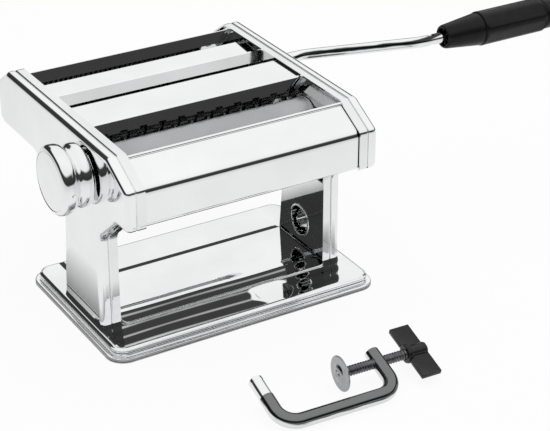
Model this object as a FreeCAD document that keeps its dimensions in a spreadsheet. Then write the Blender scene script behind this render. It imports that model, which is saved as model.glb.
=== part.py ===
"""Hand-cranked pasta roller machine with built-in cutters, its crank and its table clamp.

Millimetres. The origin is on the table, under the centre of the base. +X points to the
crank side, +Y to the back of the machine and +Z up.
"""
import FreeCAD
import Part
import Sketcher
import math
import os
import re

SIZES = [
    ("sheet_wall", 1.2, "thickness of the pressed steel sheet"),
    ("running_gap", 0.05, "radial play of a shaft in its bush"),
    ("seat_gap", 0.03, "radial play of a seated bush, gear or rivet"),
    ("base_margin", 9.2, "how far the base reaches past the end covers"),
    ("base_depth", 137.0, "base along Y"),
    ("base_corner", 13.0, "corner radius of the base"),
    ("base_rim", 3.4, "height of the lower step of the base"),
    ("base_step", 3.4, "width of the ledge between the two steps"),
    ("base_height", 9.0, "height of the base's top"),
    ("base_edge", 1.4, "rounding of the lower step"),
    ("base_shoulder", 2.6, "rounding of the top step"),
    ("deck_front", -37.0, "front edge of the raised deck between the legs"),
    ("deck_back", 32.0, "back edge of that deck"),
    ("deck_gap", 0.4, "gap between the deck and the legs"),
    ("deck_rise", 0.9, "height of the deck"),
    ("deck_round", 0.8, "rounding of the deck's edge"),
    ("deck_corner", 5.0, "corner radius of the deck"),
    ("leg_front", -31.5, "front edge of the legs"),
    ("leg_back", 28.5, "back edge of the legs at the foot"),
    ("leg_waist", 21.5, "back edge of the legs at the shoulder"),
    ("leg_shoulder", 76.0, "height where the legs widen into the head"),
    ("floor_drop", 4.0, "how far the head reaches below the smooth rollers"),
    ("ledge_front", 18.0, "flat part of the underside at the front"),
    ("ledge_back", 58.0, "flat part of the underside at the back"),
    ("margin_front", 18.4, "from the front roller to the front of the head"),
    ("margin_back", 27.0, "from the last cutter axis to the back of the head"),
    ("brow_front_drop", 14.1, "height of the front slope"),
    ("brow_back_drop", 11.6, "height of the back slope"),
    ("brow_front_run", 26.0, "depth of the front slope"),
    ("brow_back_run", 17.0, "depth of the back slope"),
    ("head_rise", 11.6, "how far the head rises above the smooth rollers"),
    ("outline_round", 4.5, "rounding of the head's corners"),
    ("heel_round", 9.0, "rounding of the head's lower back corner"),
    ("shoulder_round", 10.0, "rounding where leg and head meet"),
    ("press_round", 4.0, "rounding of the covers' outer edge"),
    ("mouth_round", 0.9, "rounding of the covers' edge against the frames"),
    ("frame_round", 1.6, "rounding of the frames' bent edge"),
    ("flange_width", 5.5, "depth of the frames' flange"),
    ("cover_depth", 7.3, "depth of the end covers"),
    ("leg_hole", 10.7, "radius of the hole in each leg"),
    ("leg_hole_height", 28.0, "height of the leg hole's centre"),
    ("collar_depth", 4.6, "depth of the collar round the leg hole"),
    ("liner_foot", 2.9, "height of the leg liners' lower edge above the base"),
    ("liner_drop", 5.5, "how far the leg liners end below the legs' shoulders"),
    ("panel_drop", 1.7, "how far the top sheets lie below the head's top"),
    ("panel_inset", 2.0, "how far the panels lie inside the head's outline"),
    ("panel_bend", 2.0, "bend radius of the panels"),
    ("brow_bend", 8.0, "bend radius of the front panel's brow"),
    ("heel_fold", 7.4, "size of the rear panel's slanted lower fold"),
    ("panel_hem", 6.0, "width of the panels' lower hem"),
    ("lip_return", 7.0, "depth of the front panel's inner return"),
    ("lip_slope", 2.5, "how far that return leans inwards"),
    ("strip_offset", 3.0, "from the last cutter axis to the rear panel's front edge"),
    ("strip_lean", 4.7, "how far the rear panel's inner strip leans"),
    ("strip_depth", 8.7, "depth of that strip"),
    ("plate_front_offset", 12.0, "from the regulator's axis to the centre plate"),
    ("plate_back_offset", 4.0, "from the centre plate to the first cutter axis"),
    ("plate_lean", 5.5, "how far the centre plate's walls lean"),
    ("plate_wall", 8.7, "depth of the centre plate's walls"),
    ("notch_pitch", 14.4, "pitch of the notches along the centre plate's wall"),
    ("notch_width", 7.2, "width of a notch"),
    ("notch_depth", 2.8, "depth of a notch"),
    ("notch_count", 11, "notches along the centre plate's wall"),
    ("hood_front_offset", 7.0, "from the wide cutter's back axis to the hood"),
    ("hood_back_offset", 4.0, "from the fine cutter's front axis to the hood's back"),
    ("hood_drop", 4.1, "how far the hood lies below the head's top"),
    ("hood_fall", 4.5, "fall of the hood's top towards the front"),
    ("hood_clear", 1.3, "height of the hood's lower edges above the cutters"),
    ("hood_lean", 3.0, "how far the hood's walls lean"),
    ("hood_bend", 3.0, "bend radius of the hood"),
    ("sheet_radius", 14.0, "radius of the smooth rollers"),
    ("sheet_height", 117.0, "height of the smooth rollers' axes"),
    ("regulator_place", -14.5, "Y of the regulator's axis"),
    ("eccentricity", 1.2, "offset of the regulator's eccentric"),
    ("eccentric_radius", 7.5, "radius of the regulator's eccentric"),
    ("floating_wall", 0.9, "wall of the sleeve between the eccentric and the rear roller"),
    ("finest_gap", 0.4, "smallest gap between the smooth rollers"),
    ("cutter_rise", 1.5, "how far the cutters' axes lie above the rollers' axes"),
    ("disc_clear", 0.7, "gap between a disc and the opposite core"),
    ("wide_offset", 21.5, "from the middle tie rod to the wide cutter"),
    ("fine_offset", 23.0, "from the wide cutter to the fine cutter"),
    ("wide_radius", 11.0, "radius of the wide cutter's discs"),
    ("wide_core", 9.3, "radius between those discs"),
    ("strand_width", 6.5, "width of a wide strand"),
    ("disc_play", 0.35, "side play between the discs"),
    ("fine_gap", 0.4, "gap between the fine cutter's drums"),
    ("roller_half", 76.5, "half the length of the rollers"),
    ("neck_stand", 0.8, "how far the necks reach past the gears"),
    ("neck_play", 0.3, "end play between a neck and its bush"),
    ("sheet_neck", 10.0, "radius of the smooth rollers' necks"),
    ("cutter_neck", 7.0, "radius of the cutters' necks"),
    ("journal", 6.0, "radius of the journals"),
    ("journal_stand", 0.4, "how far plain journals reach past their bushes"),
    ("bush_wall", 2.0, "wall of a bush"),
    ("bush_lip", 1.5, "how far a bush's flange stands out"),
    ("bush_flange", 1.2, "thickness of that flange"),
    ("bush_stand", 0.9, "how far a bush stands inside the frame"),
    ("socket_stand", 0.5, "how far the drive sockets stand out of the cover"),
    ("socket_bore", 4.05, "radius of the drive sockets"),
    ("socket_depth", 14.0, "depth of the round bore"),
    ("slot_depth", 5.0, "depth of the drive slot below the bore"),
    ("slot_width", 4.2, "width of the drive slot"),
    ("socket_clear", 1.0, "gap between a socket and the cover"),
    ("gear_play", 2.7, "distance between the rollers and the gears"),
    ("gear_width", 4.6, "width of the gears"),
    ("sheet_teeth", 16, "teeth of a smooth roller's gear"),
    ("sheet_addendum", 1.7, "tooth height above the pitch circle"),
    ("sheet_dedendum", 2.1, "tooth depth below the pitch circle"),
    ("sheet_tip", 0.5, "half the width of a tooth's tip"),
    ("sheet_foot", 1.15, "half the width of a tooth's foot"),
    ("cutter_teeth", 12, "teeth of a cutter's gear"),
    ("cutter_addendum", 1.3, "tooth height above the pitch circle"),
    ("cutter_dedendum", 1.8, "tooth depth below the pitch circle"),
    ("cutter_tip", 0.55, "half the width of a tooth's tip"),
    ("cutter_foot", 1.4, "half the width of a tooth's foot"),
    ("guide_gap", 0.6, "gap between the rollers and the side guides"),
    ("guide_clear", 1.4, "gap between the side guides and the necks"),
    ("guide_gear_gap", 0.7, "gap between the side guides and the gears"),
    ("guide_drop", 1.9, "where they meet the frames, below the top sheets"),
    ("guide_front_reach", 1.9, "how far they reach past the front roller's axis"),
    ("guide_back_reach", 3.8, "how far they reach past the rear roller's axis"),
    ("tie_radius", 4.0, "radius of the tie rods"),
    ("tie_inset_front", 10.2, "from the head's front to the front tie rod"),
    ("tie_front_drop", 3.0, "front tie rod below the rollers' axes"),
    ("tie_clear", 11.3, "from the rear roller to the middle tie rod"),
    ("tie_inset_back", 9.5, "from the head's back to the back tie rod"),
    ("tie_drop", 10.0, "middle and back tie rods below the rollers' axes"),
    ("screw_radius", 2.0, "radius of the tie rods' screws"),
    ("screw_head", 3.8, "radius of their heads"),
    ("screw_head_height", 2.4, "height of their heads"),
    ("screw_reach", 9.0, "how far they go into a tie rod"),
    ("blade_wall", 0.9, "thickness of the scraper blades"),
    ("blade_gap", 0.35, "gap between a blade and its roller"),
    ("blade_angle", 48.0, "angle of the blades' contact below the axis"),
    ("blade_root_rise", 5.5, "height of the front blade's root above the head's floor"),
    ("blade_share", 0.6, "share of a blade that reaches from frame to frame"),
    ("comb_wall", 1.0, "thickness of the combs"),
    ("comb_gap", 0.4, "gap between a comb's finger and the cutter's core"),
    ("comb_back", 14.6, "outer edge of a comb, from its roller's axis"),
    ("comb_spine", 11.6, "inner edge of a comb's spine"),
    ("comb_reach", 2.0, "how far a finger passes the axis"),
    ("finger_play", 0.55, "side play of a finger"),
    ("rivet_radius", 1.5, "radius of the foot rivets"),
    ("rivet_head", 2.3, "radius of their heads"),
    ("rivet_height", 1.1, "height of their heads"),
    ("rivet_inset", 14.0, "distance of a rivet from the leg's edge"),
    ("knob_gap", 0.7, "gap between the knob and the cover"),
    ("knob_length", 23.5, "length of the regulator knob"),
    ("knob_radius", 24.0, "radius of the knob's outer ring"),
    ("knob_inner_ring", 21.8, "radius of the knob's inner ring"),
    ("knob_waist", 19.8, "radius of the waist between the rings"),
    ("knob_cavity", 12.5, "radius of the spring's cavity"),
    ("knob_hub", 8.5, "radius of the knob's hub"),
    ("knob_bore_depth", 17.0, "depth of the knob's bore"),
    ("knob_cavity_depth", 12.0, "depth of the spring's cavity"),
    ("knob_disc", 20.2, "radius of the disc on the knob's face"),
    ("knob_disc_height", 0.9, "thickness of that disc"),
    ("pin_radius", 1.5, "radius of the knob's stop pin"),
    ("pin_circle", 17.0, "distance of the stop pin from the axis"),
    ("pin_depth", 6.0, "how deep the pin sits in the knob"),
    ("pin_reach", 2.6, "how far the pin stands out of the knob"),
    ("slot_play", 0.35, "play of the pin in its slot"),
    ("regulator_turn", 180.0, "turn of the regulator in degrees"),
    ("slot_spare", 12.0, "how far the slot goes on past each end of that turn, in degrees"),
    ("crank_radius", 4.0, "radius of the crank's rod"),
    ("crank_stand", 35.7, "distance of the crank's first bend from the cover"),
    ("crank_arm", 93.7, "length of the crank's arm"),
    ("crank_slant", 52.0, "angle between the arm and the axis"),
    ("crank_lift", 18.0, "how far the arm points above the front"),
    ("crank_bend", 13.0, "bend radius of the crank"),
    ("grip_start", 18.6, "distance of the grip from the second bend"),
    ("grip_length", 98.6, "length of the grip"),
    ("grip_radius", 12.8, "radius of the grip's main part"),
    ("grip_nose", 8.8, "radius of the grip's nose"),
    ("grip_taper", 31.0, "length of the tapered part"),
    ("grip_cap", 11.0, "length of the end cap"),
    ("grip_cap_radius", 11.6, "radius of the end cap"),
    ("grip_cup", 9.0, "depth of the hollow in the nose"),
    ("grip_cup_radius", 6.2, "radius of that hollow"),
    ("grip_flat", 0.7, "depth of the grip's flats"),
    ("grip_step", 0.5, "height of the step behind the taper"),
    ("rod_in_grip", 80.0, "how far the rod reaches into the grip"),
    ("crimp_place", 13.0, "distance of the rod's crimp from the grip"),
    ("crimp_length", 5.0, "length of that crimp"),
    ("crimp_depth", 0.9, "depth of the crimp's flats"),
    ("clamp_rod", 5.0, "radius of the clamp's rod"),
    ("clamp_x", -46.25, "X of the clamp's first bend"),
    ("clamp_y", -188.1, "Y of the clamp's first bend"),
    ("clamp_yaw", -2.6, "turn of the clamp on the table"),
    ("clamp_run", 82.6, "distance between the clamp's arms"),
    ("clamp_jaw", 39.0, "length of the upper jaw"),
    ("clamp_tail", 34.8, "length of the screw's arm"),
    ("clamp_bend", 13.0, "bend radius of the clamp"),
    ("clamp_screw", 25.8, "distance of the screw from the run"),
    ("sleeve_length", 15.0, "length of the sleeve on the jaw"),
    ("sleeve_wall", 0.6, "wall of that sleeve"),
    ("thread_radius", 3.6, "radius of the clamp's screw"),
    ("pad_place", 53.6, "X of the pad along the clamp's run"),
    ("pad_radius", 12.1, "radius of the pad"),
    ("pad_wall", 1.3, "thickness of the pad"),
    ("pad_dome", 5.6, "radius of the pad's boss"),
    ("pad_boss", 3.4, "height of the pad's boss"),
    ("hub_place", 102.5, "where the wing's hub starts along the run"),
    ("hub_length", 16.0, "length of the wing's hub"),
    ("hub_radius", 6.4, "radius of the wing's hub"),
    ("wing_span", 44.0, "span of the wing"),
    ("wing_width", 14.5, "width of the wing along the screw"),
    ("wing_wall", 4.2, "thickness of the wing"),
    ("wing_tip", 2.6, "thickness of the wing's ends"),
]

doc = FreeCAD.newDocument("PastaMachine")
sizes = doc.addObject("Spreadsheet::Sheet", "Sizes")
for row, (alias, size, note) in enumerate(SIZES, 1):
    sizes.set("A%d" % row, note)
    sizes.set("B%d" % row, str(size))
    sizes.setAlias("B%d" % row, alias)
doc.recompute()

# Places that follow from the sizes, so that pieces which belong together move together.
DERIVED = {
    "gear_start": "(roller_half + gear_play)",
    "neck_end": "(gear_start + gear_width + neck_stand)",
    "web_inside": "(neck_end + neck_play + bush_stand)",
    "web_outside": "(web_inside + sheet_wall)",
    "flange_edge": "(web_inside - flange_width)",
    "cover_outside": "(web_outside + cover_depth)",
    "journal_end": "(web_outside + bush_flange + journal_stand)",
    "socket_end": "(cover_outside + socket_stand)",
    "base_length": "(2 * (cover_outside + base_margin))",
    "crank_reach": "(cover_outside + crank_stand)",
    "front_axis": "(regulator_place - eccentricity - 2 * sheet_radius - finest_gap)",
    "rear_axis": "(regulator_place + eccentricity)",
    "tie_middle": "(rear_axis + sheet_radius + tie_clear)",
    "cutter_spacing": "(wide_radius + wide_core + disc_clear)",
    "wide_cutter": "(tie_middle + wide_offset)",
    "wide_back": "(wide_cutter + cutter_spacing)",
    "fine_cutter": "(wide_back + fine_offset)",
    "fine_back": "(fine_cutter + cutter_spacing)",
    "fine_radius": "((cutter_spacing - fine_gap) / 2)",
    "head_front": "(front_axis - sheet_radius - margin_front)",
    "head_back": "(fine_back + margin_back)",
    "floor_front": "(head_front + ledge_front)",
    "floor_back": "(head_back - ledge_back)",
    "top_front": "(head_front + brow_front_run)",
    "top_back": "(head_back - brow_back_run)",
    "tie_front": "(head_front + tie_inset_front)",
    "tie_back": "(head_back - tie_inset_back)",
    "head_top": "(sheet_height + sheet_radius + head_rise)",
    "head_floor": "(sheet_height - sheet_radius - floor_drop)",
    "brow_front": "(head_top - brow_front_drop)",
    "brow_back": "(head_top - brow_back_drop)",
    "sheet_top": "(head_top - panel_drop)",
    "cutter_height": "(sheet_height + cutter_rise)",
    "tie_front_height": "(sheet_height - tie_front_drop)",
    "tie_height": "(sheet_height - tie_drop)",
    "blade_root": "(head_floor + blade_root_rise)",
    "strip_front": "(fine_back + strip_offset)",
    "plate_front": "(regulator_place + plate_front_offset)",
    "plate_back": "(wide_cutter - plate_back_offset)",
    "hood_front": "(wide_back + hood_front_offset)",
    "hood_back": "(fine_cutter + hood_back_offset)",
    "hood_top": "(head_top - hood_drop)",
    "hood_foot": "(cutter_height + wide_radius + hood_clear)",
    "sheet_pitch": "(sheet_radius + finest_gap / 2)",
    "cutter_pitch": "(cutter_spacing / 2)",
    "guide_foot": "(sheet_height + sheet_neck + guide_clear)",
    "guide_knee": "(sheet_height + sheet_pitch + sheet_addendum + guide_gear_gap)",
    "guide_brow": "(sheet_top - guide_drop)",
    "guide_front": "(front_axis - guide_front_reach)",
    "guide_back": "(rear_axis + guide_back_reach)",
    "bush_radius": "(journal + running_gap + bush_wall)",
    "knob_seat": "(cover_outside + knob_gap)",
}
ALIASES = {alias for alias, size, note in SIZES}
WORD = re.compile("[a-z_]+")
VECTOR = FreeCAD.Vector
NODES = []


def bound(text):
    """The expression for a size written in the words above."""
    def swap(word):
        name = word.group()
        if name in DERIVED:
            return bound(DERIVED[name])
        return "Sizes." + name if name in ALIASES else name
    return WORD.sub(swap, text)


def number(text):
    """The value of such an expression."""
    return float(sizes.evalExpression(bound(text)))


def bind(thing, field, text):
    thing.setExpression(field, bound(text))


def node(thing, label):
    thing.Label = label
    NODES.append(thing)
    return thing


# Shafts and tie rods as (Y, Z), from front to back.
SHAFTS = [
    ("front_axis", "sheet_height"),
    ("regulator_place", "sheet_height"),
    ("wide_cutter", "cutter_height"),
    ("wide_back", "cutter_height"),
    ("fine_cutter", "cutter_height"),
    ("fine_back", "cutter_height"),
]
DRIVEN = [SHAFTS[0], SHAFTS[2], SHAFTS[4]]
TIES = [("tie_front", "tie_front_height"), ("tie_middle", "tie_height"), ("tie_back", "tie_height")]
SIDES = {"left": -1, "right": 1}


# Sketches and features that the pieces are made with.
def new_body(name):
    return doc.addObject("PartDesign::Body", name)


def new_sketch(body, plane, offset="0"):
    sketch = body.newObject("Sketcher::SketchObject", body.Name + "Sketch")
    support = [item for item in body.Origin.OriginFeatures if item.Role == plane + "_Plane"]
    sketch.AttachmentSupport = [(support[0], "")]
    sketch.MapMode = "FlatFace"
    bind(sketch, "AttachmentOffset.Base.z", offset)
    return sketch


def fix_point(sketch, geometry, point, u, v):
    for kind, text in (("DistanceX", u), ("DistanceY", v)):
        index = sketch.addConstraint(
            Sketcher.Constraint(kind, -1, 1, geometry, point, number(text)))
        bind(sketch, "Constraints[%d]" % index, text)


def fix_size(sketch, kind, geometry, text):
    value = number(text)
    if kind == "Angle":
        value = math.radians(value)
        text = "(%s) * 1 deg" % text
    index = sketch.addConstraint(Sketcher.Constraint(kind, geometry, value))
    bind(sketch, "Constraints[%d]" % index, text)


def polygon(sketch, points):
    corners = [VECTOR(number(u), number(v), 0) for u, v in points]
    first = sketch.GeometryCount
    count = len(points)
    for index, start in enumerate(corners):
        sketch.addGeometry(Part.LineSegment(start, corners[(index + 1) % count]))
    for index in range(count):
        after = first + (index + 1) % count
        sketch.addConstraint(Sketcher.Constraint("Coincident", first + index, 2, after, 1))
    for index, (u, v) in enumerate(points):
        fix_point(sketch, first + index, 1, u, v)
    return sketch


def circle(sketch, u, v, radius):
    centre = VECTOR(number(u), number(v), 0)
    index = sketch.addGeometry(Part.Circle(centre, VECTOR(0, 0, 1), number(radius)))
    fix_point(sketch, index, 3, u, v)
    fix_size(sketch, "Radius", index, radius)
    return sketch


def pad(body, sketch, length, midplane=False, reverse=False):
    feature = body.newObject("PartDesign::Pad", body.Name + "Pad")
    feature.Profile = sketch
    feature.Midplane = midplane
    feature.Reversed = reverse
    bind(feature, "Length", length)
    doc.recompute()
    return feature


def pocket(body, sketch, length, reverse=False):
    before = body.Shape.Volume
    feature = body.newObject("PartDesign::Pocket", body.Name + "Pocket")
    feature.Profile = sketch
    feature.Reversed = reverse
    bind(feature, "Length", length)
    doc.recompute()
    if body.Shape.Volume >= before:
        raise ValueError("a pocket of %s cuts nothing" % body.Name)
    return feature


def edges_where(shape, test):
    return ["Edge%d" % index for index, edge in enumerate(shape.Edges, 1) if test(edge)]


def faces_where(shape, test):
    return ["Face%d" % index for index, face in enumerate(shape.Faces, 1) if test(face)]


def fillet(body, names, radius):
    tip = body.Tip
    feature = body.newObject("PartDesign::Fillet", body.Name + "Fillet")
    feature.Base = (tip, names)
    bind(feature, "Radius", radius)
    doc.recompute()
    return feature


def hollow(body, names):
    tip = body.Tip
    feature = body.newObject("PartDesign::Thickness", body.Name + "Wall")
    feature.Base = (tip, names)
    feature.Reversed = True
    bind(feature, "Value", "sheet_wall")
    doc.recompute()
    return feature


def near(a, b):
    return abs(a - b) < 1e-4


def along(edge, axis):
    """Whether a straight edge runs along an axis, 0 for X, 1 for Y and 2 for Z."""
    first, last = edge.Vertexes[0].Point, edge.Vertexes[-1].Point
    reach = last - first
    return edge.Curve.TypeId == "Part::GeomLine" and near(abs(reach[axis]), reach.Length)


def at_corner(edge, points):
    """Whether an edge along X passes one of the given Y, Z points."""
    middle = edge.CenterOfMass
    return any(near(middle.y, number(y)) and near(middle.z, number(z)) for y, z in points)


def at(x, y, z, yaw="0", pitch="0", roll="0"):
    """The expression of a placement, its angles in degrees about Z, Y and X."""
    return "placement(vector(%s; %s; %s); rotation(%s; %s; %s))" % (x, y, z, yaw, pitch, roll)


def place(thing, placement):
    bind(thing, "Placement", placement)
    return thing


def turned(name, points, placement):
    """A turned piece: its half section (along X, radius) revolved about its axis."""
    body = new_body(name)
    sketch = polygon(new_sketch(body, "XZ"), points)
    feature = body.newObject("PartDesign::Revolution", name + "Turning")
    feature.Profile = sketch
    feature.ReferenceAxis = (sketch, ["H_Axis"])
    feature.Angle = 360
    place(body, placement)
    doc.recompute()
    return body


def bar(name, radius, length, x, y, z):
    """A round bar along X."""
    piece = doc.addObject("Part::Cylinder", name)
    bind(piece, "Radius", radius)
    bind(piece, "Height", length)
    return place(piece, at(x, y, z, pitch="90"))


def cut(name, base, tools):
    """A piece with holes or slots taken out of it."""
    tool = tools[0]
    if len(tools) > 1:
        tool = doc.addObject("Part::MultiFuse", name + "Tools")
        tool.Shapes = tools
    piece = doc.addObject("Part::Cut", name)
    piece.Base = base
    piece.Tool = tool
    doc.recompute()
    return piece


def group(label, pieces):
    """Like pieces that share one node."""
    bundle = doc.addObject("Part::Compound", label)
    bundle.Links = pieces
    return node(bundle, label)


# Base: a tray pressed in two steps from one sheet, open below. It stands on its rim.
def rounded_rectangle(sketch, half_x, half_y, corner):
    near_x, near_y = "(%s - %s)" % (half_x, corner), "(%s - %s)" % (half_y, corner)
    ends = [
        (("-" + near_x, "-" + half_y), (near_x, "-" + half_y)),
        ((half_x, "-" + near_y), (half_x, near_y)),
        ((near_x, half_y), ("-" + near_x, half_y)),
        (("-" + half_x, near_y), ("-" + half_x, "-" + near_y)),
    ]
    for start, end in ends:
        line = sketch.addGeometry(Part.LineSegment(*[VECTOR(number(u), number(v), 0) for u, v in (start, end)]))
        fix_point(sketch, line, 1, *start)
        fix_point(sketch, line, 2, *end)
    centres = [(near_x, "-" + near_y), (near_x, near_y), ("-" + near_x, near_y), ("-" + near_x, "-" + near_y)]
    for index, (u, v) in enumerate(centres):
        whole = Part.Circle(VECTOR(number(u), number(v), 0), VECTOR(0, 0, 1), number(corner))
        start = (index - 1) * math.pi / 2
        arc = sketch.addGeometry(Part.ArcOfCircle(whole, start, start + math.pi / 2))
        sketch.addConstraint(Sketcher.Constraint("Coincident", index, 2, arc, 1))
        sketch.addConstraint(Sketcher.Constraint("Coincident", arc, 2, (index + 1) % 4, 1))
        fix_size(sketch, "Radius", arc, corner)
    return sketch


base = new_body("Base")
rim = rounded_rectangle(new_sketch(base, "XY"), "(base_length / 2)", "(base_depth / 2)", "base_corner")
pad(base, rim, "base_rim")
step = rounded_rectangle(new_sketch(base, "XY", "base_rim"), "(base_length / 2 - base_step)",
                         "(base_depth / 2 - base_step)", "(base_corner - base_step)")
pad(base, step, "base_height - base_rim")


def on_rim(point):
    return near(abs(point.x), number("base_length / 2")) or near(abs(point.y), number("base_depth / 2"))


fillet(base, edges_where(base.Shape, lambda e: near(e.BoundBox.ZMin, number("base_height"))), "base_shoulder")
fillet(base, edges_where(base.Shape, lambda e: near(e.BoundBox.ZMin, number("base_rim"))
                         and all(on_rim(vertex.Point) for vertex in e.Vertexes)
                         and near(e.BoundBox.ZMax, number("base_rim"))), "base_edge")
hollow(base, faces_where(base.Shape, lambda f: near(f.BoundBox.ZMax, 0)))
deck = rounded_rectangle(new_sketch(base, "XY", "base_height"), "(flange_edge - deck_gap)",
                         "((deck_back - deck_front) / 2)", "deck_corner")
bind(deck, "AttachmentOffset.Base.y", "(deck_front + deck_back) / 2")
pad(base, deck, "deck_rise")
fillet(base, edges_where(base.Shape, lambda e: near(e.BoundBox.ZMin, number("base_height + deck_rise"))), "deck_round")
RIVETS = []
for side, sign in SIDES.items():
    for y in ("(leg_front + rivet_inset)", "(leg_back - rivet_inset)"):
        RIVETS.append(("%d * (flange_edge + flange_width / 2)" % sign, y))
rivet_holes = new_sketch(base, "XY", "base_height")
for x, y in RIVETS:
    circle(rivet_holes, x, y, "rivet_radius + seat_gap")
pocket(base, rivet_holes, "2 * sheet_wall")
node(base, "base_plate")


# End frames and end covers: trays pressed to one outline, the legs and the head in one sheet.
OUTLINE = [
    ("leg_front", "base_height"),
    ("leg_front", "leg_shoulder"),
    ("floor_front", "head_floor"),
    ("head_front", "head_floor"),
    ("head_front", "brow_front"),
    ("top_front", "head_top"),
    ("top_back", "head_top"),
    ("head_back", "brow_back"),
    ("head_back", "head_floor"),
    ("floor_back", "head_floor"),
    ("leg_waist", "leg_shoulder"),
    ("leg_back", "base_height"),
]
HEAD_CORNERS = OUTLINE[3:8]
HEEL = OUTLINE[8]
SHOULDERS = [OUTLINE[1], OUTLINE[2], OUTLINE[9], OUTLINE[10]]


def pressed_side(name, sign, open_x, depth, rounding):
    """A tray on the end outline, open towards the middle of the machine."""
    body = new_body(name)
    outline = polygon(new_sketch(body, "YZ", "%d * %s" % (sign, open_x)), OUTLINE)
    pad(body, outline, depth, reverse=sign < 0)
    fillet(body, edges_where(body.Shape, lambda e: along(e, 0) and at_corner(e, HEAD_CORNERS)), "outline_round")
    fillet(body, edges_where(body.Shape, lambda e: along(e, 0) and at_corner(e, [HEEL])), "heel_round")
    fillet(body, edges_where(body.Shape, lambda e: along(e, 0) and at_corner(e, SHOULDERS)), "shoulder_round")
    closed = sign * number("%s + %s" % (open_x, depth))
    rim = edges_where(
        body.Shape,
        lambda e: near(e.BoundBox.XMin, closed) and near(e.BoundBox.XMax, closed)
        and e.BoundBox.ZMax > number("base_height") + 1)
    fillet(body, rim, rounding)
    mouth = sign * number(open_x)
    hollow(body, faces_where(
        body.Shape, lambda f: near(f.BoundBox.XMin, mouth) and near(f.BoundBox.XMax, mouth)))
    return body


def end_cover(name, sign):
    """A cover, its edge against the frame rounded."""
    body = pressed_side(name, sign, "web_outside", "cover_depth", "press_round")
    seam = sign * number("web_outside")
    lips = [face for face in body.Shape.Faces if near(face.BoundBox.XMin, seam) and near(face.BoundBox.XMax, seam)]
    outside = [edge for lip in lips for edge in lip.OuterWire.Edges]
    fillet(body, edges_where(
        body.Shape,
        lambda e: any(e.isSame(other) for other in outside)
        and e.BoundBox.ZMax > number("base_height") + 1), "mouth_round")
    return body


def end_frame(side, sign):
    body = pressed_side(side.title() + "Frame", sign, "flange_edge", "flange_width + sheet_wall", "frame_round")
    web = "%d * web_outside" % sign
    collar = new_sketch(body, "YZ", web)
    circle(collar, "0", "leg_hole_height", "leg_hole + sheet_wall")
    pad(body, collar, "collar_depth", reverse=sign < 0)
    floor = new_sketch(body, "YZ", "%d * flange_edge" % sign)
    polygon(floor, [
        ("head_front + 2 * sheet_wall", "head_floor - sheet_wall"),
        ("leg_front - sheet_wall", "head_floor - sheet_wall"),
        ("leg_front - sheet_wall", "head_floor + 2 * sheet_wall"),
        ("head_front + 2 * sheet_wall", "head_floor + 2 * sheet_wall"),
    ])
    polygon(floor, [
        ("leg_waist + 2 * sheet_wall", "head_floor - sheet_wall"),
        ("head_back - 2 * sheet_wall", "head_floor - sheet_wall"),
        ("head_back - 2 * sheet_wall", "head_floor + 2 * sheet_wall"),
        ("leg_waist + 2 * sheet_wall", "head_floor + 2 * sheet_wall"),
    ])
    pocket(body, floor, "flange_width", reverse=sign > 0)
    holes = new_sketch(body, "YZ", "%d * flange_edge" % sign)
    circle(holes, "0", "leg_hole_height", "leg_hole")
    for y, z in SHAFTS:
        circle(holes, y, z, "bush_radius + seat_gap")
    for y, z in TIES:
        circle(holes, y, z, "screw_radius + seat_gap")
    pocket(body, holes, "flange_width + 2 * sheet_wall + collar_depth", reverse=sign > 0)
    feet = new_sketch(body, "XY", "base_height")
    for x, y in RIVETS:
        if number(x) * sign > 0:
            circle(feet, x, y, "rivet_radius + seat_gap")
    pocket(body, feet, "2 * sheet_wall", reverse=True)
    node(body, side + "_frame")


for side, sign in SIDES.items():
    end_frame(side, sign)


# Leg liners: flat plates that close the legs' inner sides, with a collar round the leg hole.
def leg_liner(side, sign):
    front = "leg_front + sheet_wall + seat_gap"
    foot, top = "base_height + liner_foot", "leg_shoulder - liner_drop"
    lean = "(leg_waist - leg_back) / (leg_shoulder - base_height)"
    edge = "leg_back - 1.1 * sheet_wall + " + lean + " * (%s - base_height)"
    start = "%d * flange_edge" % sign
    body = new_body(side.title() + "Liner")
    plate = polygon(new_sketch(body, "YZ", start), [
        (front, foot),
        (edge % foot, foot),
        (edge % top, top),
        (front, top),
    ])
    pad(body, plate, "sheet_wall", reverse=sign < 0)
    ring = circle(new_sketch(body, "YZ", start), "0", "leg_hole_height", "leg_hole + sheet_wall")
    pad(body, ring, "flange_width", reverse=sign < 0)
    bore = circle(new_sketch(body, "YZ", start), "0", "leg_hole_height", "leg_hole")
    pocket(body, bore, "flange_width", reverse=sign > 0)
    node(body, side + "_leg_liner")


for side, sign in SIDES.items():
    leg_liner(side, sign)

right_cover = end_cover("RightCover", 1)
sockets = new_sketch(right_cover, "YZ", "web_outside")
for y, z in DRIVEN:
    circle(sockets, y, z, "journal + socket_clear")
pocket(right_cover, sockets, "cover_depth + sheet_wall", reverse=True)
node(right_cover, "right_cover")

# The left cover has a round hole for the regulator's shaft and an arc slot for its stop pin.
left_cover = end_cover("LeftCover", -1)
shaft_hole = new_sketch(left_cover, "YZ", "-web_outside")
circle(shaft_hole, "regulator_place", "sheet_height", "journal + socket_clear")
pocket(left_cover, shaft_hole, "cover_depth + sheet_wall")
SLOT_X = "-cover_outside - sheet_wall"
arcs = []
for name, radius in (("SlotOuter", "pin_circle + pin_radius + slot_play"),
                     ("SlotInner", "pin_circle - pin_radius - slot_play")):
    arcs.append(bar(name, radius, "3 * sheet_wall", SLOT_X, "regulator_place", "sheet_height"))
bind(arcs[0], "Angle", "regulator_turn + 2 * slot_spare")
place(arcs[0], at(SLOT_X, "regulator_place", "sheet_height", pitch="90")
      + " * " + at("0", "0", "0", yaw="-slot_spare"))
slot = cut("RegulatorSlot", arcs[0], [arcs[1]])
node(cut("LeftCoverSlotted", left_cover, [slot]), "left_cover")


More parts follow.
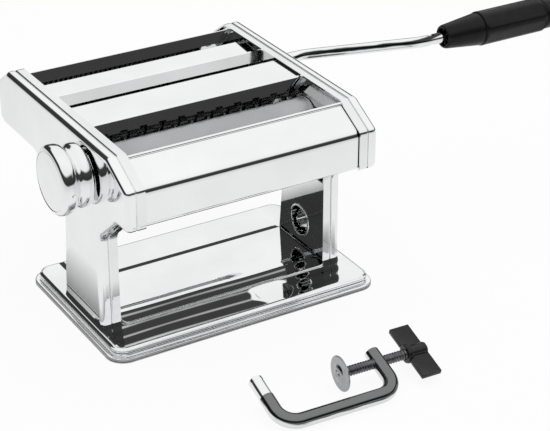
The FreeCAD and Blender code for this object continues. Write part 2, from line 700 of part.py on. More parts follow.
# Rivets that hold the legs' feet on the base.
rivets = []
for index, (x, y) in enumerate(RIVETS):
    shank = doc.addObject("Part::Cylinder", "RivetShank%d" % index)
    bind(shank, "Radius", "rivet_radius")
    bind(shank, "Height", "2 * sheet_wall + 2 * rivet_height")
    place(shank, at(x, y, "base_height - sheet_wall - rivet_height"))
    heads = []
    for level in ("base_height - sheet_wall - rivet_height", "base_height + sheet_wall"):
        head = doc.addObject("Part::Cylinder", "RivetHead%d" % index)
        bind(head, "Radius", "rivet_head")
        bind(head, "Height", "rivet_height")
        heads.append(place(head, at(x, y, level)))
    rivet = doc.addObject("Part::MultiFuse", "Rivet%d" % index)
    rivet.Shapes = [shank] + heads
    rivets.append(rivet)
group("foot_rivets", rivets)


# Panels, centre plate and hood: folded sheets that run from frame to frame.
def folded_sheet(name, points, bends):
    """A sheet folded along X, its bends as (corner, radius). The outline's last side is its open side."""
    body = new_body(name)
    pad(body, polygon(new_sketch(body, "YZ"), points), "2 * web_inside", midplane=True)
    for index, radius in bends:
        fillet(body, edges_where(body.Shape, lambda e: along(e, 0) and at_corner(e, [points[index]])), radius)
    (y0, z0), (y1, z1) = points[-1], points[0]
    open_y, open_z = (number(y0) + number(y1)) / 2, (number(z0) + number(z1)) / 2
    end = number("web_inside")
    centre = VECTOR(0, open_y, open_z)
    hollow(body, faces_where(
        body.Shape,
        lambda f: near(abs(f.CenterOfMass.x), end) or f.distToShape(Part.Vertex(centre))[0] < 1e-4))
    return body


node(folded_sheet("FrontPanel", [
    ("head_front + panel_inset + panel_hem", "head_floor + sheet_wall"),
    ("head_front + panel_inset", "head_floor + sheet_wall"),
    ("head_front + panel_inset", "brow_front - panel_inset / 2"),
    ("top_front + panel_inset / 2", "sheet_top"),
    ("top_front + panel_inset / 2 + lip_slope", "sheet_top - lip_return"),
], [(1, "1.5 * panel_bend"), (2, "brow_bend"), (3, "panel_bend")]), "front_panel")

node(folded_sheet("RearPanel", [
    ("head_back - heel_fold", "head_floor + panel_inset"),
    ("head_back - panel_inset", "head_floor + heel_fold"),
    ("head_back - panel_inset", "brow_back - panel_inset / 2"),
    ("top_back - panel_inset / 2", "sheet_top"),
    ("strip_front", "sheet_top"),
    ("strip_front - strip_lean", "sheet_top - strip_depth"),
], [(index, "panel_bend") for index in range(1, 5)]), "rear_panel")

centre_plate = folded_sheet("CentrePlate", [
    ("plate_front - plate_lean", "sheet_top - plate_wall"),
    ("plate_front", "sheet_top"),
    ("plate_back", "sheet_top"),
    ("plate_back + plate_lean", "sheet_top - plate_wall"),
], [(1, "panel_bend"), (2, "panel_bend")])
notch = new_sketch(centre_plate, "XZ", "-(plate_front + plate_back) / 2")
notch_start = "-notch_pitch * (notch_count - 1) / 2"
polygon(notch, [
    (notch_start + " - notch_width / 2", "sheet_top - plate_wall - sheet_wall"),
    (notch_start + " + notch_width / 2", "sheet_top - plate_wall - sheet_wall"),
    (notch_start + " + notch_width / 2", "sheet_top - plate_wall + notch_depth"),
    (notch_start + " - notch_width / 2", "sheet_top - plate_wall + notch_depth"),
])
first_notch = pocket(centre_plate, notch, "plate_back - plate_front + plate_lean", reverse=True)
notches = centre_plate.newObject("PartDesign::LinearPattern", "Notches")
notches.Originals = [first_notch]
notches.Direction = (notch, ["H_Axis"])
bind(notches, "Length", "notch_pitch * (notch_count - 1)")
bind(notches, "Occurrences", "notch_count")
centre_plate.Tip = notches
node(centre_plate, "centre_plate")

node(folded_sheet("CutterHood", [
    ("hood_back + hood_lean", "hood_foot"),
    ("hood_back", "hood_top"),
    ("hood_front", "hood_top - hood_fall"),
    ("hood_front - hood_lean", "hood_foot"),
], [(1, "hood_bend"), (2, "hood_bend")]), "cutter_hood")


# Side guides: bent cheeks that lead the dough between the ends of the smooth rollers.
def side_guide(side, sign):
    inner = "(roller_half + guide_gap)"
    outer = "(web_inside - sheet_wall)"
    rise = "(sheet_top - sheet_wall)"
    body = new_body(side.title() + "Guide")
    section = [
        (inner, "guide_foot"),
        (inner, "guide_knee"),
        (outer, "guide_brow"),
        (outer, rise),
        (outer + " + sheet_wall", rise),
        (outer + " + sheet_wall", "guide_brow - sheet_wall / 2"),
        (inner + " + sheet_wall", "guide_knee - sheet_wall / 2"),
        (inner + " + sheet_wall", "guide_foot"),
    ]
    points = [("%d * (%s)" % (sign, x), z) for x, z in section]
    sketch = polygon(new_sketch(body, "XZ", "-guide_back"), points)
    pad(body, sketch, "guide_back - guide_front")
    node(body, side + "_side_guide")


for side, sign in SIDES.items():
    side_guide(side, sign)

# Tie rods between the frames, with a screw in each end.
tie_screws = []
for label, (y, z) in zip(("front_tie_rod", "middle_tie_rod", "back_tie_rod"), TIES):
    reach = "(screw_reach + 1)"
    rod = bar(label + "_bar", "tie_radius", "2 * web_inside", "-web_inside", y, z)
    ends = []
    for side, sign in SIDES.items():
        start = "-web_inside" if sign < 0 else "web_inside - " + reach
        ends.append(bar(label + side, "screw_radius + seat_gap", reach, start, y, z))
        shank_start = "-web_outside" if sign < 0 else "web_inside - screw_reach"
        shank = bar(label + "Shank" + side, "screw_radius", "screw_reach + sheet_wall", shank_start, y, z)
        head_start = "web_outside" if sign > 0 else "-web_outside - screw_head_height"
        head = bar(label + "Head" + side, "screw_head", "screw_head_height", head_start, y, z)
        screw = doc.addObject("Part::Fuse", label + "Screw" + side)
        screw.Base = shank
        screw.Tool = head
        tie_screws.append(screw)
    node(cut(label + "_drilled", rod, ends), label)
group("tie_rod_screws", tie_screws)

# Bushes pressed into the frames, one round each end of every shaft.
for side, sign in SIDES.items():
    bushes = []
    for index, (y, z) in enumerate(SHAFTS):
        inside = "(%d * (web_inside - bush_stand))" % sign
        seat = "(%d * web_outside)" % sign
        outside = "(%d * (web_outside + bush_flange))" % sign
        section = [
            (inside, "journal + running_gap"),
            (outside, "journal + running_gap"),
            (outside, "bush_radius + bush_lip"),
            (seat, "bush_radius + bush_lip"),
            (seat, "bush_radius"),
            (inside, "bush_radius"),
        ]
        bushes.append(turned("%sBush%d" % (side.title(), index), section, at("0", y, z)))
    group(side + "_bushes", bushes)


# Rollers: turned drums with necks and journals; driven ones end in a socket for the crank.
def roller(name, label, drum, half, neck, placement, driven):
    section = [
        ("-journal_end", "0"),
        ("-journal_end", "journal"),
        ("-neck_end", "journal"),
        ("-neck_end", neck),
        ("-" + half, neck),
        ("-" + half, drum),
        (half, drum),
        (half, neck),
        ("neck_end", neck),
        ("neck_end", "journal"),
    ]
    if driven:
        section += [
            ("socket_end", "journal"),
            ("socket_end", "socket_bore"),
            ("socket_end - socket_depth", "socket_bore"),
            ("socket_end - socket_depth", "0"),
        ]
    else:
        section += [("journal_end", "journal"), ("journal_end", "0")]
    body = turned(name, section, placement)
    if driven:
        slot_face = new_sketch(body, "YZ", "socket_end - socket_depth")
        polygon(slot_face, [
            ("-slot_width / 2", "-socket_bore"),
            ("slot_width / 2", "-socket_bore"),
            ("slot_width / 2", "socket_bore"),
            ("-slot_width / 2", "socket_bore"),
        ])
        pocket(body, slot_face, "slot_depth")
    return node(body, label)


def ring_grooves(body, count):
    """Grooves between the discs of a wide cutter's roller."""
    width = "(strand_width + 2 * disc_play)"
    start = "(-strand_width * (%d - 1))" % count
    sketch = polygon(new_sketch(body, "XZ"), [
        (start + " - %s / 2" % width, "wide_core"),
        (start + " + %s / 2" % width, "wide_core"),
        (start + " + %s / 2" % width, "wide_radius + 1"),
        (start + " - %s / 2" % width, "wide_radius + 1"),
    ])
    groove = body.newObject("PartDesign::Groove", body.Name + "Groove")
    groove.Profile = sketch
    groove.ReferenceAxis = (sketch, ["H_Axis"])
    groove.Angle = 360
    doc.recompute()
    pattern = body.newObject("PartDesign::LinearPattern", body.Name + "Grooves")
    pattern.Originals = [groove]
    pattern.Direction = (sketch, ["H_Axis"])
    bind(pattern, "Length", "2 * strand_width * %d" % (count - 1))
    pattern.Occurrences = count
    body.Tip = pattern
    doc.recompute()


WIDE_COUNT = int(number("roller_half / strand_width"))
WIDE_HALF = "(strand_width * %d.5 - disc_play)" % WIDE_COUNT
roller("FrontSheetRoller", "front_sheet_roller", "sheet_radius", "roller_half", "sheet_neck",
       at("0", "front_axis", "sheet_height"), True)
wide_front = roller("WideFront", "wide_cutter_front_roller", "wide_radius", WIDE_HALF, "cutter_neck",
                    at("0", "wide_cutter", "cutter_height"), True)
wide_back = roller("WideBack", "wide_cutter_back_roller", "wide_radius", WIDE_HALF, "cutter_neck",
                   at("0", "wide_back", "cutter_height"), False)
ring_grooves(wide_front, WIDE_COUNT + 1)
ring_grooves(wide_back, WIDE_COUNT)
roller("FineFront", "fine_cutter_front_roller", "fine_radius", "roller_half", "cutter_neck",
       at("0", "fine_cutter", "cutter_height", roll="90 - crank_lift"), True)
roller("FineBack", "fine_cutter_back_roller", "fine_radius", "roller_half", "cutter_neck",
       at("0", "fine_back", "cutter_height"), False)

# The rear smooth roller is hollow. It runs on a sleeve that floats on the regulator's eccentric,
# so that turning the regulator shifts the roller without turning its gear out of mesh.
sleeve_bore = "(eccentric_radius + running_gap)"
sleeve_outside = "(%s + floating_wall)" % sleeve_bore
hollow_bore = "(%s + running_gap)" % sleeve_outside
node(turned("RearSheetRoller", [
    ("-neck_end + seat_gap", hollow_bore),
    ("-neck_end + seat_gap", "sheet_neck"),
    ("-roller_half", "sheet_neck"),
    ("-roller_half", "sheet_radius"),
    ("roller_half", "sheet_radius"),
    ("roller_half", "sheet_neck"),
    ("neck_end - seat_gap", "sheet_neck"),
    ("neck_end - seat_gap", hollow_bore),
], at("0", "rear_axis", "sheet_height")), "rear_sheet_roller")
node(turned("RegulatorSleeve", [
    ("-neck_end + seat_gap", sleeve_bore),
    ("-neck_end + seat_gap", sleeve_outside),
    ("neck_end - seat_gap", sleeve_outside),
    ("neck_end - seat_gap", sleeve_bore),
], at("0", "rear_axis", "sheet_height")), "regulator_sleeve")

shaft_tip = "(knob_seat + knob_bore_depth - 1)"
eccentric = bar("Eccentric", "eccentric_radius", "2 * neck_end", "-neck_end", "rear_axis", "sheet_height")
through = bar("RegulatorJournal", "journal", "journal_end + " + shaft_tip, "-" + shaft_tip,
              "regulator_place", "sheet_height")
regulator = doc.addObject("Part::Fuse", "RegulatorShaft")
regulator.Base = through
regulator.Tool = eccentric
node(regulator, "regulator_shaft")


# Gears: a root disc with one padded tooth, patterned round the axis.
def gear(name, label, kind, pitch, neck, start, y, z, half_tooth):
    teeth = kind + "_teeth"
    root = "(%s - %s_dedendum)" % (pitch, kind)
    tip = "(%s + %s_addendum)" % (pitch, kind)
    body = new_body(name)
    pad(body, circle(new_sketch(body, "YZ", start), "0", "0", root), "gear_width")
    tooth = polygon(new_sketch(body, "YZ", start), [
        (root + " * 0.9", "-%s_foot" % kind),
        (tip, "-%s_tip" % kind),
        (tip, "%s_tip" % kind),
        (root + " * 0.9", "%s_foot" % kind),
    ])
    first = pad(body, tooth, "gear_width")
    ring = body.newObject("PartDesign::PolarPattern", name + "Teeth")
    ring.Originals = [first]
    ring.Axis = (tooth, ["N_Axis"])
    ring.Angle = 360
    bind(ring, "Occurrences", teeth)
    body.Tip = ring
    doc.recompute()
    pocket(body, circle(new_sketch(body, "YZ", start), "0", "0", neck + " + seat_gap"), "gear_width", reverse=True)
    place(body, at("0", y, z, roll="180 / %s" % teeth if half_tooth else "0"))
    return node(body, label)


LEFT_GEARS = "(-gear_start - gear_width)"
gear("FrontSheetGear", "front_sheet_gear", "sheet", "sheet_pitch", "sheet_neck", "gear_start",
     "front_axis", "sheet_height", False)
gear("RearSheetGear", "rear_sheet_gear", "sheet", "sheet_pitch", "sheet_neck", "gear_start",
     "rear_axis", "sheet_height", True)
gear("WideFrontGear", "wide_cutter_front_gear", "cutter", "cutter_pitch", "cutter_neck", "gear_start",
     "wide_cutter", "cutter_height", False)
gear("WideBackGear", "wide_cutter_back_gear", "cutter", "cutter_pitch", "cutter_neck", "gear_start",
     "wide_back", "cutter_height", True)
gear("FineFrontGear", "fine_cutter_front_gear", "cutter", "cutter_pitch", "cutter_neck", LEFT_GEARS,
     "fine_cutter", "cutter_height", False)
gear("FineBackGear", "fine_cutter_back_gear", "cutter", "cutter_pitch", "cutter_neck", LEFT_GEARS,
     "fine_back", "cutter_height", True)


# Scrapers: blades that lift the dough off the rollers below their nip. Each is fixed between
# the frames along its root and is narrower along its edge, to pass between the gears.
def blade(name, label, root, axis, reach):
    y0, z0 = root
    side = "-" if number(y0) < number(axis[0]) else "+"
    y2 = "(%s %s %s * cos(blade_angle * 1 deg))" % (axis[0], side, reach)
    z2 = "(%s - %s * sin(blade_angle * 1 deg))" % (axis[1], reach)
    y1, z1 = "(%s + (%s - %s) * blade_share)" % (y0, y2, y0), "(%s + (%s - %s) * blade_share)" % (z0, z2, z0)
    body = new_body(name)
    for (ya, za), (yb, zb), width in (((y0, z0), (y1, z1), "web_inside"), ((y1, z1), (y2, z2), "roller_half")):
        strip = [(ya, za), (yb, zb), (yb, zb + " - blade_wall"), (ya, za + " - blade_wall")]
        pad(body, polygon(new_sketch(body, "YZ"), strip), "2 * " + width, midplane=True)
    return node(body, label)


blade("FrontBlade", "front_scraper", ("(head_front + panel_inset + sheet_wall)", "blade_root"),
      SHAFTS[0], "(sheet_radius + blade_gap)")
blade("MiddleBlade", "middle_scraper", ("tie_middle", "(tie_height - tie_radius - 2 * blade_gap)"),
      SHAFTS[1], "(sheet_radius + blade_gap + eccentricity)")
blade("BackBlade", "back_scraper",
      ("(head_back - panel_inset - sheet_wall)", "(tie_height + tie_radius + 2 * blade_wall + 3 * blade_gap)"),
      SHAFTS[5], "(fine_radius + blade_gap)")


# Combs: strips with a finger in each groove of the wide cutter, to strip off the strands.
def comb(name, label, axis, direction, count):
    level = "(cutter_height - wide_core - comb_gap - comb_wall)"
    spine = doc.addObject("Part::Box", name + "Spine")
    bind(spine, "Length", "2 * web_inside")
    bind(spine, "Width", "comb_back - comb_spine")
    bind(spine, "Height", "comb_wall")
    edge = "%s + comb_spine" % axis if direction > 0 else "%s - comb_back" % axis
    place(spine, at("-web_inside", edge, level))
    fingers = []
    for index in range(count):
        finger = doc.addObject("Part::Box", name + "Finger")
        width = "(strand_width + 2 * disc_play - 2 * finger_play)"
        middle = "(%d - %d) * strand_width" % (2 * index, count - 1)
        bind(finger, "Length", width)
        bind(finger, "Width", "comb_spine + comb_reach")
        bind(finger, "Height", "comb_wall")
        start = "%s - comb_reach" % axis if direction > 0 else "%s - comb_spine" % axis
        fingers.append(place(finger, at(middle + " - %s / 2" % width, start, level)))
    whole = doc.addObject("Part::MultiFuse", name)
    whole.Shapes = [spine] + fingers
    return node(whole, label)


comb("FrontComb", "front_comb", "wide_cutter", -1, WIDE_COUNT + 1)
comb("BackComb", "back_comb", "wide_back", 1, WIDE_COUNT)


# Regulator knob: a turned cup with two rings and a waist, a face disc and a stop pin.
KNOB_PLACE = at("-knob_seat", "regulator_place", "sheet_height", yaw="180")
knob = turned("Knob", [
    ("0", "knob_cavity"),
    ("0", "knob_inner_ring - 0.8"),
    ("2", "knob_inner_ring"),
    ("knob_length * 0.36", "knob_inner_ring"),
    ("knob_length * 0.43", "knob_waist"),
    ("knob_length * 0.49", "knob_waist"),
    ("knob_length * 0.57", "knob_radius - 0.8"),
    ("knob_length * 0.9", "knob_radius"),
    ("knob_length", "knob_radius - 0.7"),
    ("knob_length", "knob_disc + 0.8"),
    ("knob_length - knob_disc_height", "knob_disc"),
    ("knob_length - knob_disc_height", "0"),
    ("knob_bore_depth", "0"),
    ("knob_bore_depth", "journal + running_gap"),
    ("3", "journal + running_gap"),
    ("3", "knob_hub"),
    ("knob_cavity_depth", "knob_hub"),
    ("knob_cavity_depth", "knob_cavity"),
], KNOB_PLACE)
pin_hole = new_sketch(knob, "YZ", "0")
circle(pin_hole, "0", "pin_circle", "pin_radius + seat_gap")
pocket(knob, pin_hole, "pin_depth", reverse=True)
node(knob, "regulator_knob")
node(turned("KnobDisc", [
    ("knob_length - knob_disc_height", "0"),
    ("knob_length - knob_disc_height", "knob_disc - seat_gap"),
    ("knob_length - knob_disc_height / 2", "knob_disc - seat_gap"),
    ("knob_length", "knob_disc * 0.8"),
    ("knob_length", "0"),
], KNOB_PLACE), "knob_face_disc")
pin = bar("StopPin", "pin_radius", "pin_depth + pin_reach", "-knob_seat - pin_depth",
          "regulator_place", "sheet_height + pin_circle")
node(pin, "knob_stop_pin")


# Bent rods: straight legs joined by tangent arcs.
def bent_path(sketch, u, v, heading, legs, turns, radius):
    """Legs run from corner to corner, and each turn is an angle in degrees, left positive."""
    angle = math.radians(heading)
    point = VECTOR(number(u), number(v), 0)
    reach = [radius + " * tan(%s / 2 * 1 deg)" % turn.lstrip("-") for turn in turns]
    previous = None
    for index, leg in enumerate(legs):
        length = leg
        if index > 0:
            length += " - " + reach[index - 1]
        if index < len(turns):
            length += " - " + reach[index]
        ahead = VECTOR(math.cos(angle), math.sin(angle), 0)
        end = point + ahead * number(length)
        line = sketch.addGeometry(Part.LineSegment(point, end))
        fix_size(sketch, "Distance", line, length)
        if previous is None:
            fix_point(sketch, line, 1, u, v)
            sketch.addConstraint(Sketcher.Constraint("Horizontal" if heading == 0 else "Vertical", line))
        else:
            arc, arc_end = previous
            sketch.addConstraint(Sketcher.Constraint("Tangent", arc, arc_end, line, 1))
        if index < len(turns):
            turn = math.radians(number(turns[index]))
            side = 1 if turn > 0 else -1
            normal = VECTOR(-math.sin(angle), math.cos(angle), 0) * side
            size = number(radius)
            centre = end + normal * size
            start_angle = math.atan2(end.y - centre.y, end.x - centre.x)
            round_circle = Part.Circle(centre, VECTOR(0, 0, 1), size)
            sweep = (start_angle, start_angle + turn) if turn > 0 else (start_angle + turn, start_angle)
            arc = sketch.addGeometry(Part.ArcOfCircle(round_circle, *sweep))
            arc_start, arc_end = (1, 2) if turn > 0 else (2, 1)
            sketch.addConstraint(Sketcher.Constraint("Tangent", line, 2, arc, arc_start))
            fix_size(sketch, "Radius", arc, radius)
            angle += turn
            point = centre + VECTOR(math.sin(angle), -math.cos(angle), 0) * size * side
            previous = (arc, arc_end)
    return sketch


def piped(body, path, profile):
    pipe = body.newObject("PartDesign::AdditivePipe", body.Name + "Pipe")
    pipe.Profile = profile
    pipe.Spine = (path, ["Edge%d" % (index + 1) for index in range(path.GeometryCount)])
    doc.recompute()
    return pipe


# Crank: a bent steel rod whose flattened tip sits in a drive socket.
CRANK_TIP = "(socket_end - socket_depth + 0.3)"
BEND_X = "(crank_reach + crank_arm * cos(crank_slant * 1 deg))"
crank = new_body("Crank")
crank_path = new_sketch(crank, "XZ")
bent_path(crank_path, CRANK_TIP, "0", 0,
          ["crank_reach - " + CRANK_TIP, "crank_arm", "grip_start + rod_in_grip"],
          ["crank_slant", "-crank_slant"], "crank_bend")
fix_size(crank_path, "Angle", 2, "crank_slant")
crank_path.addConstraint(Sketcher.Constraint("Horizontal", 4))
piped(crank, crank_path, circle(new_sketch(crank, "YZ", CRANK_TIP), "0", "0", "crank_radius"))
tongue = polygon(new_sketch(crank, "YZ", CRANK_TIP), [
    ("-slot_width / 2 + seat_gap * 3", "-crank_radius * 0.85"),
    ("slot_width / 2 - seat_gap * 3", "-crank_radius * 0.85"),
    ("slot_width / 2 - seat_gap * 3", "crank_radius * 0.85"),
    ("-slot_width / 2 + seat_gap * 3", "crank_radius * 0.85"),
])
pad(crank, tongue, "slot_depth - 0.6", reverse=True)
GRIP_START = "(%s + grip_start)" % BEND_X
GRIP_OFFSET = "(crank_arm * sin(crank_slant * 1 deg))"
crimp = new_sketch(crank, "YZ", GRIP_START + " - crimp_place")
for sign in SIDES.values():
    polygon(crimp, [
        ("%d * (crank_radius - crimp_depth)" % sign, GRIP_OFFSET + " - crank_radius"),
        ("%d * (crank_radius + 1)" % sign, GRIP_OFFSET + " - crank_radius"),
        ("%d * (crank_radius + 1)" % sign, GRIP_OFFSET + " + crank_radius"),
        ("%d * (crank_radius - crimp_depth)" % sign, GRIP_OFFSET + " + crank_radius"),
    ])
pocket(crank, crimp, "crimp_length", reverse=True)
place(crank, at("0", "fine_cutter", "cutter_height", roll="90 - crank_lift"))
node(crank, "crank_rod")

# Grip: a moulded sleeve that turns on the rod, with a hollow nose, flats and a separate end cap.
GRIP_Y = "fine_cutter - %s * cos(crank_lift * 1 deg)" % GRIP_OFFSET
GRIP_Z = "cutter_height + %s * sin(crank_lift * 1 deg)" % GRIP_OFFSET
GRIP_PLACE = at(GRIP_START, GRIP_Y, GRIP_Z)
main_end = "(grip_length - grip_cap)"
grip = turned("Grip", [
    ("0", "grip_cup_radius"),
    ("0", "grip_nose - 0.8"),
    ("1", "grip_nose"),
    ("grip_taper", "grip_radius - grip_step"),
    ("grip_taper", "grip_radius"),
    (main_end, "grip_radius"),
    (main_end, "crank_radius + running_gap"),
    ("grip_cup", "crank_radius + running_gap"),
    ("grip_cup", "grip_cup_radius"),
], GRIP_PLACE)
flat_cut = polygon(new_sketch(grip, "YZ", "grip_taper + 2"), [
    ("grip_radius - grip_flat", "-grip_radius"),
    ("grip_radius + 2", "-grip_radius"),
    ("grip_radius + 2", "grip_radius"),
    ("grip_radius - grip_flat", "grip_radius"),
])
first_flat = pocket(grip, flat_cut, main_end + " - grip_taper - 2", reverse=True)
flats = grip.newObject("PartDesign::PolarPattern", "GripFlats")
flats.Originals = [first_flat]
flats.Axis = (flat_cut, ["N_Axis"])
flats.Angle = 360
flats.Occurrences = 6
grip.Tip = flats
node(grip, "crank_grip")
node(turned("GripCap", [
    (main_end, "0"),
    (main_end, "grip_cap_radius"),
    ("grip_length - 2.5", "grip_cap_radius"),
    ("grip_length - 0.8", "grip_cap_radius - 1"),
    ("grip_length", "grip_cap_radius - 3"),
    ("grip_length", "0"),
], GRIP_PLACE), "grip_end_cap")

# Clamp: a rod bent to a C, lying tilted on the table on its run and on the screw's pad.
CLAMP_TILT = "asin((pad_radius - clamp_rod) / clamp_screw)"
CLAMP_PLACE = at("clamp_x", "clamp_y", "clamp_rod", "clamp_yaw", "0", CLAMP_TILT)
SCREW_PLACE = CLAMP_PLACE + " * " + at("0", "clamp_screw", "0")
clamp = new_body("ClampRod")
clamp_path = new_sketch(clamp, "XY")
bent_path(clamp_path, "0", "clamp_jaw", -90, ["clamp_jaw", "clamp_run", "clamp_tail"], ["90", "90"], "clamp_bend")
clamp_path.addConstraint(Sketcher.Constraint("Horizontal", 2))
clamp_path.addConstraint(Sketcher.Constraint("Vertical", 4))
piped(clamp, clamp_path, circle(new_sketch(clamp, "XZ", "-clamp_jaw"), "0", "0", "clamp_rod"))
neck_cut = new_sketch(clamp, "XZ", "-clamp_jaw")
circle(neck_cut, "0", "0", "clamp_rod + 1")
circle(neck_cut, "0", "0", "clamp_rod - sleeve_wall")
pocket(clamp, neck_cut, "sleeve_length", reverse=True)
thread_hole = new_sketch(clamp, "YZ", "clamp_run - clamp_rod - 1")
circle(thread_hole, "clamp_screw", "0", "thread_radius + running_gap")
pocket(clamp, thread_hole, "2 * clamp_rod + 2", reverse=True)
node(place(clamp, CLAMP_PLACE), "clamp_rod")

sleeve = new_body("Sleeve")
sleeve_ring = new_sketch(sleeve, "XZ", "-clamp_jaw")
circle(sleeve_ring, "0", "0", "clamp_rod")
circle(sleeve_ring, "0", "0", "clamp_rod - sleeve_wall + seat_gap")
pad(sleeve, sleeve_ring, "sleeve_length - seat_gap")
node(place(sleeve, CLAMP_PLACE), "clamp_jaw_sleeve")

node(turned("ClampScrew", [
    ("pad_place + pad_wall + 0.3", "0"),
    ("pad_place + pad_wall + 0.3", "thread_radius - 1"),
    ("pad_place + pad_wall + pad_boss + 0.4", "thread_radius - 1"),
    ("pad_place + pad_wall + pad_boss + 0.4", "thread_radius"),
    ("hub_place + hub_length - 2", "thread_radius"),
    ("hub_place + hub_length - 2", "0"),
], SCREW_PLACE), "clamp_screw")

node(turned("Pad", [
    ("pad_place - 2.4", "0"),
    ("pad_place - 1.8", "pad_dome - 1.6"),
    ("pad_place", "pad_dome"),
    ("pad_place", "pad_radius"),
    ("pad_place + pad_wall", "pad_radius"),
    ("pad_place + pad_wall", "pad_dome"),
    ("pad_place + pad_wall + pad_boss", "pad_dome - 0.6"),
    ("pad_place + pad_wall + pad_boss", "thread_radius - 1 + running_gap"),
    ("pad_place + pad_wall", "thread_radius - 1 + running_gap"),
    ("pad_place + pad_wall", "0"),
], SCREW_PLACE), "clamp_pad")

wing = turned("Wing", [
    ("hub_place", "thread_radius + seat_gap"),
    ("hub_place", "hub_radius - 1"),
    ("hub_place + 1", "hub_radius"),
    ("hub_place + hub_length - 1", "hub_radius"),
    ("hub_place + hub_length", "hub_radius - 1"),
    ("hub_place + hub_length", "0"),
    ("hub_place + hub_length - 1.7", "0"),
    ("hub_place + hub_length - 1.7", "thread_radius + seat_gap"),
], SCREW_PLACE)
root_y = "(thread_radius + 1.2)"
for sign in SIDES.values():
    blade_face = polygon(new_sketch(wing, "YZ", "hub_place + (hub_length - wing_width) / 2"), [
        ("%d * %s" % (sign, root_y), "-wing_wall / 2"),
        ("%d * wing_span / 2" % sign, "-wing_tip / 2"),
        ("%d * wing_span / 2" % sign, "wing_tip / 2"),
        ("%d * %s" % (sign, root_y), "wing_wall / 2"),
    ])
    pad(wing, blade_face, "wing_width")
node(wing, "clamp_wing")

# Every object has to be sound before anything is written.
doc.recompute()
for thing in doc.Objects:
    if "Invalid" in thing.State or "Error" in thing.State:
        raise ValueError("%s failed" % thing.Label)
for piece in NODES:
    if piece.Shape.isNull() or not piece.Shape.isValid() or not piece.Shape.Solids:
        raise ValueError("%s has no sound shape" % piece.Label)

os.makedirs("parts", exist_ok=True)
for piece in NODES:
    piece.Shape.exportStep("parts/%s.step" % piece.Label)
    print("%-26s solids %2d volume %9.1f" % (piece.Label, len(piece.Shape.Solids), piece.Shape.Volume))
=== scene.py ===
import math

import bmesh
import bpy
from mathutils import Matrix, Vector


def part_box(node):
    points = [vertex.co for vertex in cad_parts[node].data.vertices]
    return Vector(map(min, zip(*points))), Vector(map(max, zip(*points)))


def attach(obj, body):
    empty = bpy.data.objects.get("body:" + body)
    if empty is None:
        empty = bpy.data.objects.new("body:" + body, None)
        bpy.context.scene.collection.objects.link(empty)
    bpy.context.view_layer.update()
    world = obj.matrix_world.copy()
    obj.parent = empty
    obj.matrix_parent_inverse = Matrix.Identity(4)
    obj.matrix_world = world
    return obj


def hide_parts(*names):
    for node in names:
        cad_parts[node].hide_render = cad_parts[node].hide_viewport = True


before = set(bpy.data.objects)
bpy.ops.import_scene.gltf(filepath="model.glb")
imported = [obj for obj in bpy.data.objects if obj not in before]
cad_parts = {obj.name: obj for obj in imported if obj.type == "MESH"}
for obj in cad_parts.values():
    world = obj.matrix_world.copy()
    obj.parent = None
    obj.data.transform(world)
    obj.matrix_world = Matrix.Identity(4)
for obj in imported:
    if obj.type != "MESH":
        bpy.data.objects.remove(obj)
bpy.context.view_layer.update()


# Base plate: a tray pressed in two steps from one sheet of steel and polished to a mirror.
# Its waves, creases and dent are bump in the finish. So is the slope along the front of the deck:
# it makes that strip mirror the dark part of the room, as the real one does.
def wire(tree, source, target):
    tree.links.new(source, target)


def noise_at(tree, place, size, stretch=(1, 1, 1), detail=2.0):
    """Noise with features of the given size in metres, drawn out along an axis by stretch."""
    spread = tree.nodes.new("ShaderNodeMapping")
    spread.inputs["Scale"].default_value = [1 / (size * pull) for pull in stretch]
    wire(tree, place, spread.inputs["Vector"])
    noise = tree.nodes.new("ShaderNodeTexNoise")
    noise.inputs["Scale"].default_value = 1.0
    noise.inputs["Detail"].default_value = detail
    wire(tree, spread.outputs["Vector"], noise.inputs["Vector"])
    return noise.outputs["Fac"]


def graded(tree, source, low, high, start=0.3, end=0.7):
    """Turns a pattern's range from start to end into values from low to high."""
    span = tree.nodes.new("ShaderNodeMapRange")
    span.inputs["From Min"].default_value = start
    span.inputs["From Max"].default_value = end
    span.inputs["To Min"].default_value = low
    span.inputs["To Max"].default_value = high
    wire(tree, source, span.inputs["Value"])
    return span.outputs["Result"]


def two_tone(tree, source, dark, light):
    """Colours the middle of a pattern's range from dark to light."""
    ramp = tree.nodes.new("ShaderNodeValToRGB")
    ramp.color_ramp.elements[0].position = 0.3
    ramp.color_ramp.elements[0].color = (*dark, 1)
    ramp.color_ramp.elements[1].position = 0.7
    ramp.color_ramp.elements[1].color = (*light, 1)
    wire(tree, source, ramp.inputs["Fac"])
    return ramp.outputs["Color"]


def bumped(tree, source, height, below=None):
    """A normal bent by a pattern of the given height in metres, over another normal."""
    bump = tree.nodes.new("ShaderNodeBump")
    bump.inputs["Distance"].default_value = height
    wire(tree, source, bump.inputs["Height"])
    if below:
        wire(tree, below, bump.inputs["Normal"])
    return bump.outputs["Normal"]


def reckon(tree, operation, first, second=None, constant=0.0, third=None):
    """One step of arithmetic between sockets."""
    step = tree.nodes.new("ShaderNodeMath")
    step.operation = operation
    wire(tree, first, step.inputs[0])
    step.inputs[1].default_value = constant
    if second:
        wire(tree, second, step.inputs[1])
    if third:
        wire(tree, third, step.inputs[2])
    return step.outputs[0]


def new_finish(name):
    """A new material with its node tree, its shader and its Object coordinates."""
    finish = bpy.data.materials.new(name)
    finish.use_nodes = True
    tree = finish.node_tree
    shader = tree.nodes["Principled BSDF"]
    place = tree.nodes.new("ShaderNodeTexCoord").outputs["Object"]
    return finish, tree, shader, place


def cool_grey(level):
    return level, level + 0.005, level + 0.01


SMEAR_SIZE = 0.035
LINE_SIZE = 0.0006
LINE_HEIGHT = 0.0000015


